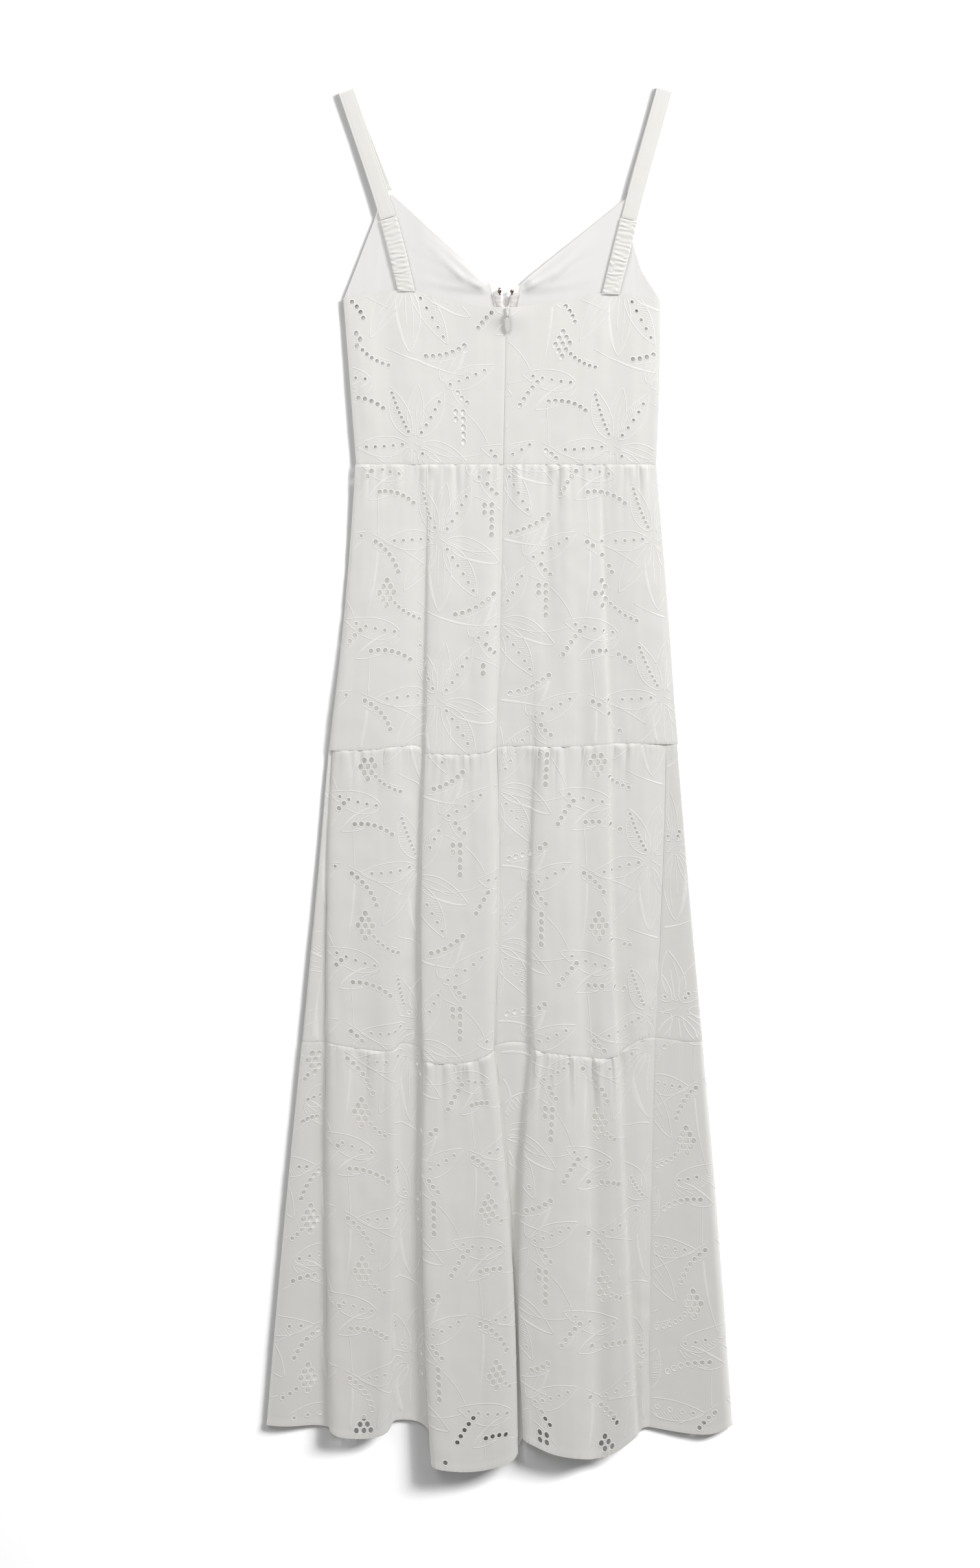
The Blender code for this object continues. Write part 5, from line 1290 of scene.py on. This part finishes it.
@dataclass(frozen=True)
class Finishes:
    """Every finish of the dress."""

    cotton: bpy.types.Material
    inside: bpy.types.Material
    satin: bpy.types.Material
    lining: bpy.types.Material
    cuff: bpy.types.Material
    ring: bpy.types.Material
    enamel: bpy.types.Material

    @classmethod
    def made(cls) -> "Finishes":
        """Builds them."""
        return cls(
            cotton=Weave("embroidered cotton", (0.750, 0.739, 0.709), (0.720, 0.707, 0.675), 0.86).build(),
            # The front layer is a slightly darker copy of the cotton, painted shade for cloth under and beside
            # the back, and it glows by its mask: painted light that lifts that shade.
            inside=Weave("cotton, front layer", (0.73, 0.72, 0.69), (0.70, 0.69, 0.655), 0.88,
                         glow=0.28).build(),
            satin=Satin("satin stitch", (0.80, 0.793, 0.768)).build(),
            # The lining's painted glow lifts its shade where it lies under the back bodice: painted light.
            lining=Weave("smooth lining", (0.765, 0.75, 0.738), (0.74, 0.725, 0.712), 0.64, 0.45, 0.12, 0.1,
                         glow=0.17).build(),
            # The cuffs are a darker copy of the lining: painted shade.
            cuff=Weave("gathered lining", (0.70, 0.673, 0.662), (0.665, 0.64, 0.628), 0.7, 0.45, 0.12,
                       0.1).build(),
            ring=Hard("polished ring", (0.24, 0.19, 0.165), 0.16, 1.0).build(),
            enamel=Hard("white enamel", (0.70, 0.70, 0.69), 0.3).build(),
        )


@dataclass
class GatherRelief:
    """Ridges that start at a piece's top seam and fade out downwards, uneven in place, height and length."""

    half: int
    tier: int

    def __call__(self, surface: Surface, s: Array, d: Array, at: Array) -> Array:
        """Height of the ridges: half waves across, which rise within a few millimetres and fade downwards."""
        *counts, high, reach = GATHERS[self.tier]
        count = counts[self.half]
        k = np.arange(count)
        seed = 1.3 * self.tier + 2.1 * self.half
        centre = (k + 0.5 + 0.26 * np.sin(2.4 * k + seed)) / count
        tall = high * (0.68 + 0.32 * np.sin(1.7 * k + 2 * seed))
        long = reach * (0.62 + 0.38 * np.cos(2.9 * k + seed))
        away = (s[:, None] / surface.width - centre) * count
        ridge = np.clip(np.cos(np.pi * np.clip(away, -0.5, 0.5)), 0, 1)
        from_end = np.clip(np.minimum(s, surface.width - s) / 7.0, 0, 1)
        fade = np.clip(1 - d[:, None] / long, 0, 1) ** 1.4
        rise = np.clip(d[:, None] / 4 + 0.2, 0, 1)
        group = 0.85 + 0.4 * np.sin(2 * np.pi * s / 83 + seed) + 0.25 * np.sin(2 * np.pi * s / 31 + 3 * seed)
        return (tall * ridge * fade * rise).sum(axis=1) * from_end * group


@dataclass
class CreaseRelief:
    """Ridges that fan out from a cuff, widening and sinking as they go."""

    creases: tuple[tuple[tuple[float, float], float, float, float, float], ...]

    def __call__(self, surface: Surface, s: Array, d: Array, at: Array) -> Array:
        """Height of the ridges: bell curves across that fall off along each, and none where the back lies."""
        total = np.zeros(len(s))
        for (x, y), heading, long, high, wide in self.creases:
            run = (math.cos(math.radians(heading)), math.sin(math.radians(heading)))
            ahead = (at[:, 0] - x) * run[0] + (at[:, 1] - y) * run[1]
            aside = (at[:, 0] - x) * -run[1] + (at[:, 1] - y) * run[0]
            part = np.clip(ahead / long, 0, 1)
            spread = wide * (0.7 + 1.2 * part)
            fade = np.clip(ahead / 8 + 0.3, 0, 1) * (1 - part) ** 1.2
            total += high * fade * np.exp(-((aside / spread) ** 2))
        return total * np.clip((at[:, 1] - CREASE_FOOT_Y) / 8.0, 0, 1)


def ring_relief(surface: Surface, s: Array, d: Array, at: Array) -> Array:
    """The back lifts over the neck ring's foot, as a bell that sinks under the zip pull as the pull does."""
    below = LIFT_Y - at[:, 1]
    along = np.where(below > 0, np.maximum(below - LIFT_LEVEL, 0) / LIFT_DOWN, below / LIFT_UP)
    away = np.hypot((at[:, 0] - RING_X) / LIFT_WIDE, along)
    return RING_LIFT * np.exp(-(away**LIFT_STEEP))


def trimmed(levels: list, start: int, end: int, by: float = -OVERLAP) -> Array:
    """The same columns with the end rows moved, so that the shells of two joined pieces just overlap."""
    levels = np.array(levels, float)
    levels[0] += start * by
    levels[-1] += end * by
    return levels


def seam_rows(top: list, foot: list) -> Array:
    """Top and bottom edges of a piece, drawn out by the shells' overlap."""
    return np.stack([np.asarray(top, float) + OVERLAP, np.asarray(foot, float) - OVERLAP], axis=1)


@dataclass
class Skirt:
    """Three tiers, each with a left and a right half at the back and one piece at the front."""

    finishes: Finishes
    # The tables' columns that each tier of the back uses, tier 1 first, and how far the front's flaps reach
    x_columns: tuple[tuple[int, ...], ...] = ((0, 1, 2), (3, 4, 5), (5, 6, 7))
    z_columns: tuple[tuple[int, ...], ...] = ((0, 1, 2), (2, 3), (3, 4))
    flaps: tuple[tuple[float, float], ...] = ((16.0, 26.0), (40.0, 62.0))

    def back(self, side: Side, tier: int) -> Panel:
        """One tier of one half of the back."""
        table = BACK_LEFT if side is Side.LEFT else BACK_RIGHT
        half = 0 if side is Side.LEFT else 1
        x = [[row[1][k] for k in self.x_columns[tier - 1]] for row in table]
        z = [[REST + row[2][k] for k in self.z_columns[tier - 1]] for row in table]
        top = [WAIST_Y if tier == 1 else row[3][tier - 2] for row in table]
        foot = [row[3][tier - 1] for row in table]
        y = seam_rows(top, foot)
        surface = Surface(trimmed(x, 1, -1), y, z, relief=GatherRelief(half, tier))
        low, high = (-999, 3) if side is Side.LEFT else (3, 999)
        return Panel(
            f"tier_{tier}_back_{side.value}",
            surface,
            self.finishes.cotton,
            self.finishes.satin,
            Edges(hem=tier == 3, puckers=0.22),
            Held.GATHERED,
            (14.0 + 61.0 * half, -35.0 + 47.0 * tier),
            creases=tuple(c for c in SEAM_CREASES[tier] if low < c[0] < high),
            fine_gathers=int(1.35 * GATHERS[tier][half]),
            seed=10 * tier + half,
        )

    def front(self, tier: int) -> Panel:
        """The front of tier 2 or 3, which wraps round both side edges."""
        columns = (0, 1, 2) if tier == 2 else (2, 3, 4)
        x = [[row[2][k] for k in columns] for row in FRONT_SKIRT]
        z = [[row[1] + row[3][k] for k in (tier - 2, tier - 1)] for row in FRONT_SKIRT]
        y = seam_rows(*([row[4][k] for row in FRONT_SKIRT] for k in (tier - 2, tier - 1)))
        return Panel(
            f"tier_{tier}_front",
            Surface(trimmed(x, -1, 1), y, z),
            self.finishes.inside,
            self.finishes.satin,
            Edges(hem=tier == 3, puckers=0.1),
            Held.GATHERED,
            (-12.0, 20.0 * tier),
            self.flaps[tier - 2],
            outward=-1,
            lift=0.1,
            uneven=0.45,
            covered=under_back,
            seed=40 + tier,
        )

    def front_1(self) -> Panel:
        """The front of tier 1, flat on the floor."""
        x = [row[1] for row in FRONT_TIER_1]
        y = seam_rows([WAIST_Y] * len(x), [row[2] for row in FRONT_TIER_1])
        surface = Surface(x, y, np.full((len(x), 2), UNDER), outline=cornered)
        return Panel(
            "tier_1_front",
            surface,
            self.finishes.inside,
            self.finishes.satin,
            Edges(puckers=0.1),
            Held.GATHERED,
            outward=-1,
            lift=0.0,
            uneven=0.4,
            step=6.0,
            row_step=6.0,
            covered=under_back,
            seed=41,
        )

    def build(self) -> None:
        """Makes every tier."""
        panels = [self.back(side, tier) for tier in (1, 2, 3) for side in Side]
        panels += [self.front_1(), self.front(2), self.front(3)]
        for panel in panels:
            report(panel.build())


@dataclass
class Bodice:
    """The back bodice's halves, the front's, and the cup linings that show above the back."""

    finishes: Finishes

    def back(self, side: Side) -> Panel:
        """One half of the back."""
        left = side is Side.LEFT
        table = BODICE_LEFT if left else BODICE_RIGHT
        x = trimmed([row[1] for row in table], *((0, -1) if left else (1, 0)), by=GAP / 2)
        z = BODICE + np.array([row[2] for row in table])
        y = seam_rows([row[3] - OVERLAP for row in table], [WAIST_Y] * len(table))
        return Panel(
            f"back_bodice_{side.value}",
            Surface(x, y, z, outline=cornered, relief=ring_relief),
            self.finishes.cotton,
            self.finishes.satin,
            Edges(top=False, puckers=0.12),
            Held.LAID,
            (-22.0 if left else 28.0, -74.0),
            uneven=0.8,
            seed=60 + left,
        )

    def flat(self, table: tuple, height: float, side: Side, relief: Relief | None = None) -> Surface:
        """A flat piece whose top edge follows the table. A lining's is drawn out over the front's edge."""
        left = side is Side.LEFT
        rise = 0.9 if relief else 0.0
        x = trimmed([row[1:3] for row in table], *((0, -1) if left else (1, 0)))
        y = seam_rows([row[3] - OVERLAP + rise for row in table], [WAIST_Y] * len(table))
        return Surface(x, y, np.full((len(table), 2), height), outline=cornered, relief=relief, ribbon=True)

    def build(self) -> None:
        """Makes the six pieces."""
        for side in Side:
            left = side is Side.LEFT
            report(self.back(side).build())
            outer = self.flat(FRONT_BODICE_LEFT if left else FRONT_BODICE_RIGHT, UNDER, side)
            report(Panel(f"front_bodice_{side.value}", outer, self.finishes.inside, self.finishes.satin,
                         Edges(top=False), outward=-1, lift=0.0, uneven=0.4, step=5.0, row_step=5.0,
                         covered=under_back, seed=70 + left).build())
            creases = CreaseRelief(CREASES_LEFT if left else CREASES_RIGHT)
            inner = self.flat(LINING_LEFT if left else LINING_RIGHT, REST, side, creases)
            made = Panel(f"cup_lining_{side.value}", inner, self.finishes.lining, self.finishes.satin,
                         Edges(top=False, foot=False), lift=0.3, uneven=0.45, covered=under_top_edge,
                         seed=80 + left).build()
            report(made)


@dataclass
class FlatTube:
    """A strap or an elastic: a flat cloth tube along a middle line, open along the long edge that is sewn."""

    name: str
    node: str
    table: tuple[tuple[float, float, float, float], ...]
    wide: float
    thick: float
    finish: bpy.types.Material
    ruches: int = 0
    sides: int = 44

    def surface(self) -> Surface:
        """s runs along the middle line and d across it."""
        table = np.array(self.table)
        lean = np.radians(table[:, 3])
        side = np.stack([np.cos(lean), np.sin(lean)], axis=1) * self.wide / 2
        edges = np.stack([table[:, :2] - side, table[:, :2] + side], axis=1)
        return Surface(edges[:, :, 0], edges[:, :, 1], np.repeat(table[:, 2:3], 2, axis=1), ribbon=True)

    def build(self) -> bpy.types.Object:
        """Carries a flat rounded section along the middle line.

        Returns:
            The tube: the section's half width and half height are powers of a cosine and a sine, with a
            stitched groove near each edge, or ruches that rise and sink along it. Both ends are rounded.
        """
        surface = self.surface()
        s = surface.stations(0.45 if self.ruches else 1.6, None)
        turn = np.linspace(0.02, 2 * np.pi - 0.02, self.sides)
        across = signed_power(np.cos(turn), 0.5) * (self.wide / 2 - 0.05)
        high = signed_power(np.sin(turn), 0.45) * (self.thick / 2 - 0.1)
        ss, aa = (grid.ravel() for grid in np.meshgrid(s, across, indexing="ij"))
        hh = np.tile(high, len(s))
        if self.ruches:
            bow = 1.6 * np.sin(aa / 4.1 + ss / 17) + 3.2 * drift(ss / 8, aa / 6, 5)
            phase = 0.72 * self.ruches * (ss + bow) / surface.width
            swell = 0.5 - 0.5 * np.cos(2 * np.pi * phase)
            swell *= 0.75 + 0.6 * drift(ss / 5, aa / 4, 6)
            inside = np.clip(1 - (np.abs(aa) / (self.wide / 2)) ** 6, 0, 1)
            hh = hh + np.where(hh > 0, 0.85, -0.1) * swell * inside
            aa = aa * (1 - 0.035 * (1 - swell))
        else:
            groove = np.exp(-(((np.abs(aa) - (self.wide / 2 - 2.0)) / 0.45) ** 2))
            hh = hh - np.sign(hh) * 0.22 * groove + 0.1 * drift(ss / 9, aa / 5, 7)
        hh = hh * np.clip(np.minimum(ss, surface.width - ss) / 0.9, 0.02, 1) ** 0.5
        d = np.clip(self.wide / 2 + aa, 0, surface.height)
        points = surface.point(ss, d) + surface.normal(ss, d) * hh[:, None]
        quads = outward(points, loop_quads(len(s), self.sides, closed=False))
        made = made_mesh(self.name, points, quads, self.finish)
        declared(made, self.node)
        return made


@dataclass
class Straps:
    """Two shoulder straps folded over at the shoulder, and the ruched elastics that join them to the back."""

    finishes: Finishes

    def build(self) -> None:
        """Makes the four tubes."""
        tables = {Side.LEFT: (STRAP_LEFT, ELASTIC_LEFT), Side.RIGHT: (STRAP_RIGHT, ELASTIC_RIGHT)}
        cotton = self.finishes.cotton
        for side, (strap, elastic) in tables.items():
            end = side.value
            report([
                FlatTube(f"cloth_strap_{end}", f"strap_{end}", strap, STRAP_WIDE, STRAP, cotton).build(),
                FlatTube(f"cloth_elastic_{end}", f"strap_elastic_{end}", elastic, ELASTIC_WIDE, ELASTIC,
                         cotton, ELASTIC_RUCHES).build(),
            ])


@dataclass
class NeckRing:
    """A metal bar bent to a U with a ball on each end, and the ruched cloth cuffs around its legs."""

    finishes: Finishes
    bar: float = 1.0
    ball: float = 2.0
    sides: int = 24
    cuff_start: float = 4.0
    cuff_outer: float = 7.2
    cuff_inner: float = 1.6
    cuff_foot: float = 2.4
    cuff_thick: float = 1.7
    cuff_rings: int = 57
    cuff_sides: int = 28
    cuff_flat: tuple[float, float] = (0.020, 0.018)
    slant: float = 0.46
    ruches: int = 4

    def path(self, a: Array) -> tuple[Array, Array]:
        """The bar's middle line and its direction at length a: down the left leg, round and up the right."""
        turn = np.clip((a - RING_LEG) / RING_HALF, 0, math.pi)
        before = np.clip(a, None, RING_LEG)
        after = np.clip(a - RING_LEG - math.pi * RING_HALF, 0, None)
        x = RING_X - RING_HALF * np.cos(turn)
        y = RING_TOP_Y - before - RING_HALF * np.sin(turn) + after
        run = np.stack([np.sin(turn), -np.cos(turn)], axis=1)
        return np.stack([x, y], axis=1), run

    def ring(self) -> bpy.types.Object:
        """A round section swept along the path. Its radius is a ball's at both ends and the bar's between."""
        ball = self.ball * np.sin(np.linspace(-np.pi / 2, np.pi / 3, 16))
        a = np.concatenate([ball, np.linspace(2.2, RING_LONG - 2.2, 60), RING_LONG - ball[::-1]])
        from_end = np.minimum(a, RING_LONG - a)
        radius = np.sqrt(np.clip(self.ball**2 - from_end**2, 0, None))
        radius = np.where(from_end > 0, np.maximum(radius, self.bar), np.maximum(radius, 0.01))
        at, run = self.path(a)
        at = at + run * np.minimum(a, 0)[:, None]
        angle = np.linspace(0, 2 * np.pi, self.sides, endpoint=False)
        across = radius[:, None] * np.cos(angle)
        points = np.stack([at[:, :1] + across * run[:, 1:], at[:, 1:] - across * run[:, :1],
                           RING_Z + radius[:, None] * np.sin(angle)], axis=-1).reshape(-1, 3)
        quads = outward(points, loop_quads(len(a), self.sides))
        made = made_mesh("polished_neck_ring", points, quads, self.finishes.ring)
        declared(made, "neck_ring")
        return made

    def cuff(self, side: Side) -> bpy.types.Object:
        """A ruched tube around one leg: wide towards its cup, thin at the keyhole.

        Args:
            side: which leg.

        Returns:
            The cuff. Its section is an oval around the bar whose size swells with each ruche.
        """
        part = np.linspace(0, 1, self.cuff_rings)
        at, run = self.path(self.cuff_start + (RING_LONG / 2 - GAP / 2 - self.cuff_start) * part)
        angle = np.linspace(0, 2 * np.pi, self.cuff_sides, endpoint=False)
        pp, aa = np.meshgrid(part, angle, indexing="ij")
        shift = 0.12 * np.sin(2 * aa) + 0.1 * drift(pp * 9, aa * 2, 3)
        ruche = 1 - 0.06 * np.cos(2 * np.pi * self.ruches * (pp + 0.2 * shift))
        ruche += 0.02 * np.cos(50 * pp + 3 * aa)
        wide = self.cuff_outer + (self.cuff_foot - self.cuff_outer) * np.minimum(1, pp * 1.25)
        slant = self.slant * np.clip(1 - pp * 2.2, 0, None)
        c = np.cos(aa)
        reach = c * np.where(c > 0, self.cuff_inner, wide * ruche)
        lift = slant * reach
        px = at[:, :1] - reach * run[:, 1:] + lift * run[:, :1]
        py = at[:, 1:] + reach * run[:, :1] + lift * run[:, 1:]
        sign = 1 if side is Side.LEFT else -1
        points = np.stack([RING_X + sign * (px - RING_X), py,
                           RING_Z + self.cuff_thick * ruche * 0.98 * np.sin(aa)], axis=-1).reshape(-1, 3)
        quads = outward(points, loop_quads(self.cuff_rings, self.cuff_sides))
        made = made_mesh(f"ruched_cuff_{side.value}", points, quads, self.finishes.cuff)
        declared(made, f"ring_cuff_{side.value}")
        return made

    def build(self) -> None:
        """Makes the ring and both cuffs."""
        report([self.ring(), *(self.cuff(side) for side in Side)])


@dataclass
class Zip:
    """The slider that stands at the top of the centre-back zip, and the pull that swings on it."""

    finishes: Finishes
    slider_long: float = 9.4
    slider_wide: float = 3.4
    pull_long: float = 20.0
    pull_wide: float = 4.9
    pull_thick: float = 1.2
    lean: float = math.radians(15.0)
    # The bridge's half length, its rise and half its section's width and height
    bridge_half: float = 2.3
    bridge_rise: float = 2.6
    bridge_section: tuple[float, float] = (0.65, 0.38)
    # The pull's head: half its width, the window's half size and middle, and how high it hangs on the slider
    head: float = 2.1
    window: tuple[float, float] = (1.15, 1.5)
    window_y: float = -2.0
    hang: float = 0.95

    def slider(self) -> bpy.types.Object:
        """A flattened rounded body, narrow at its waist, with an arched bridge over it."""
        rings, sides = 29, 40
        rise = np.linspace(-np.pi / 2, np.pi / 2, rings)
        u, v = np.meshgrid(rise, np.linspace(0, 2 * np.pi, sides, endpoint=False), indexing="ij")
        along = signed_power(np.sin(u), 0.35)
        waist = 1 - 0.2 * np.cos(np.pi * along / 1.4) ** 2
        round_it = np.clip(np.cos(u), 0, 1) ** 0.35
        x = ZIP_X + self.slider_wide / 2 * waist * round_it * signed_power(np.cos(v), 0.4)
        y = SLIDER_TOP_Y - self.slider_long / 2 + self.slider_long / 2 * along
        z = ZIP_SEAT + SLIDER_THICK / 2 + SLIDER_THICK / 2 * round_it * signed_power(np.sin(v), 0.5)
        body = np.stack([x, y, z], axis=-1).reshape(-1, 3)
        points, quads = joined([(body, outward(body, loop_quads(rings, sides))), self.bridge()])
        made = made_mesh("enamelled_slider", points, quads, self.finishes.enamel)
        declared(made, "zip_slider")
        return made

    def bridge(self, rings: int = 33, sides: int = 16) -> tuple[Array, Array]:
        """A flat rounded section carried along an arch over the slider, as points and quads."""
        bow = np.linspace(-1, 1, rings)
        middle_y = EYE_Y + self.bridge_half * signed_power(bow, 0.6)
        arch = np.clip(1 - np.abs(bow) ** 5, 0, 1) ** 0.5
        middle_z = ZIP_SEAT + SLIDER_THICK - 0.3 + self.bridge_rise * arch
        tangent = np.stack([np.gradient(middle_y), np.gradient(middle_z)], axis=1)
        tangent /= np.linalg.norm(tangent, axis=1, keepdims=True)
        angle = np.linspace(0, 2 * np.pi, sides, endpoint=False)
        wide = self.bridge_section[0] * signed_power(np.cos(angle), 0.6)
        tall = self.bridge_section[1] * signed_power(np.sin(angle), 0.7)
        points = np.stack([
            np.broadcast_to(ZIP_X + wide, (rings, sides)),
            middle_y[:, None] - tangent[:, 1:] * tall,
            middle_z[:, None] + tangent[:, :1] * tall,
        ], axis=-1).reshape(-1, 3)
        return points, outward(points, loop_quads(rings, sides))

    def pull(self) -> bpy.types.Object:
        """A teardrop plate with a hole at its head, turned down about the bridge.

        Returns:
            The plate: a flat rounded section between the hole's edge and the outline, carried round both.
        """
        rings, sides = 72, 24
        a = np.linspace(0, 2 * np.pi, rings, endpoint=False)
        drop = 0.5 * (1 - np.cos(a))
        down = self.pull_long * drop
        half = self.pull_wide / 2 * np.clip(np.sin(np.pi * drop**1.25), 0, 1) ** 0.55
        head = np.clip(1 - np.clip((down - 3) / 4, 0, None), 0, 1) * (down > 0.05)
        half = np.maximum(half, self.head * head)
        half *= np.minimum(1, np.sqrt(np.clip((self.pull_long - down) / 3, 0, None)))
        half *= np.minimum(1, np.sqrt(down / 0.9))
        outer = np.stack([np.sign(np.sin(a)) * half, 0.5 - down], axis=1)
        inner = np.stack([self.window[0] * np.sin(a), self.window_y + self.window[1] * np.cos(a)], axis=1)
        turn = np.linspace(0, 2 * np.pi, sides, endpoint=False)
        out = 0.5 + 0.5 * signed_power(np.cos(turn), 0.3)
        high = self.pull_thick / 2 * signed_power(np.sin(turn), 0.45)
        xy = inner[:, None] * (1 - out[None, :, None]) + outer[:, None] * out[None, :, None]
        y, z = xy[:, :, 1], np.broadcast_to(high, xy.shape[:2])
        c, s = math.cos(self.lean), math.sin(self.lean)
        points = np.stack([
            ZIP_X + xy[:, :, 0],
            EYE_Y + y * c - z * s,
            ZIP_SEAT + SLIDER_THICK + self.hang + y * s + z * c,
        ], axis=-1).reshape(-1, 3)
        quads = outward(points, loop_quads(rings, sides, ends=True))
        made = made_mesh("enamelled_pull", points, quads, self.finishes.enamel)
        declared(made, "zip_pull", "zip_pull")
        return made

    def build(self) -> None:
        """Makes the slider and the pull."""
        report([self.slider(), self.pull()])


@dataclass(frozen=True)
class Light:
    """A soft square light that faces the dress."""

    name: str
    place: tuple[float, float, float]
    wide: float
    power: float
    reaches: bpy.types.Collection | None = None

    def build(self) -> None:
        """Adds the light."""
        data = bpy.data.lights.new(self.name, "AREA")
        data.size = self.wide
        data.energy = self.power
        made = bpy.data.objects.new(self.name, data)
        made.location = self.place
        made.rotation_euler = (-Vector(self.place)).to_track_quat("-Z", "Y").to_euler()
        bpy.context.scene.collection.objects.link(made)
        if self.reaches is not None:
            made.light_linking.receiver_collection = self.reaches


@dataclass
class Studio:
    """A plain pale floor, soft light from the upper right, and the camera straight above."""

    view_x: float = -0.00975
    view_y: float = -0.0062
    distance: float = 4.0
    lens: float = 61.03
    sensor: float = 24.0
    surround: float = 0.40
    floor_reach: float = 4000.0
    floor_z: float = -0.15
    lights: tuple[Light, ...] = (
        Light("key", (1.9, 1.9, 1.5), 0.8, 64.0),
        Light("fill", (-1.2, 1.5, 1.9), 1.6, 25.0),
    )
    floor_light: Light = Light("floor light", (2.4, 1.15, 1.05), 1.1, 430.0)

    def build(self) -> None:
        """Adds floor, lights, surroundings and camera."""
        square = np.array([(-1, -1, 0), (1, -1, 0), (1, 1, 0), (-1, 1, 0)])
        corners = square * self.floor_reach + [0, 0, self.floor_z]
        paper = Weave("pale paper", (0.60, 0.60, 0.60), (0.59, 0.59, 0.59), 0.9, 1.5, 0.02, 0.0).build()
        floor = made_mesh("floor", corners, np.array([[0, 1, 2, 3]]), paper)
        for light in self.lights:
            light.build()
        floor_alone = bpy.data.collections.new("floor alone")
        floor_alone.objects.link(floor)
        replace(self.floor_light, reaches=floor_alone).build()
        world = bpy.data.worlds.new("studio")
        world.use_nodes = True
        background = world.node_tree.nodes["Background"]
        background.inputs["Color"].default_value = (1, 1, 1, 1)
        background.inputs["Strength"].default_value = self.surround
        bpy.context.scene.world = world
        bpy.context.scene.view_settings.view_transform = "Standard"
        data = bpy.data.cameras.new("camera")
        data.sensor_fit = "VERTICAL"
        data.sensor_height = self.sensor
        data.lens = self.lens
        camera = bpy.data.objects.new("camera", data)
        camera.location = (self.view_x, self.view_y, self.distance)
        bpy.context.scene.collection.objects.link(camera)
        bpy.context.scene.camera = camera


def report(made: list[bpy.types.Object]) -> None:
    """Logs each piece with its face count."""
    for piece in made:
        log.info("%s: %d faces", piece.name, len(piece.data.polygons))


def main() -> None:
    """Builds the dress piece by piece, then the studio."""
    logging.basicConfig(level=logging.INFO, format="%(message)s")
    finishes = Finishes.made()
    Skirt(finishes).build()
    Bodice(finishes).build()
    Straps(finishes).build()
    NeckRing(finishes).build()
    Zip(finishes).build()
    Studio().build()


if __name__ == "__main__":
    main()
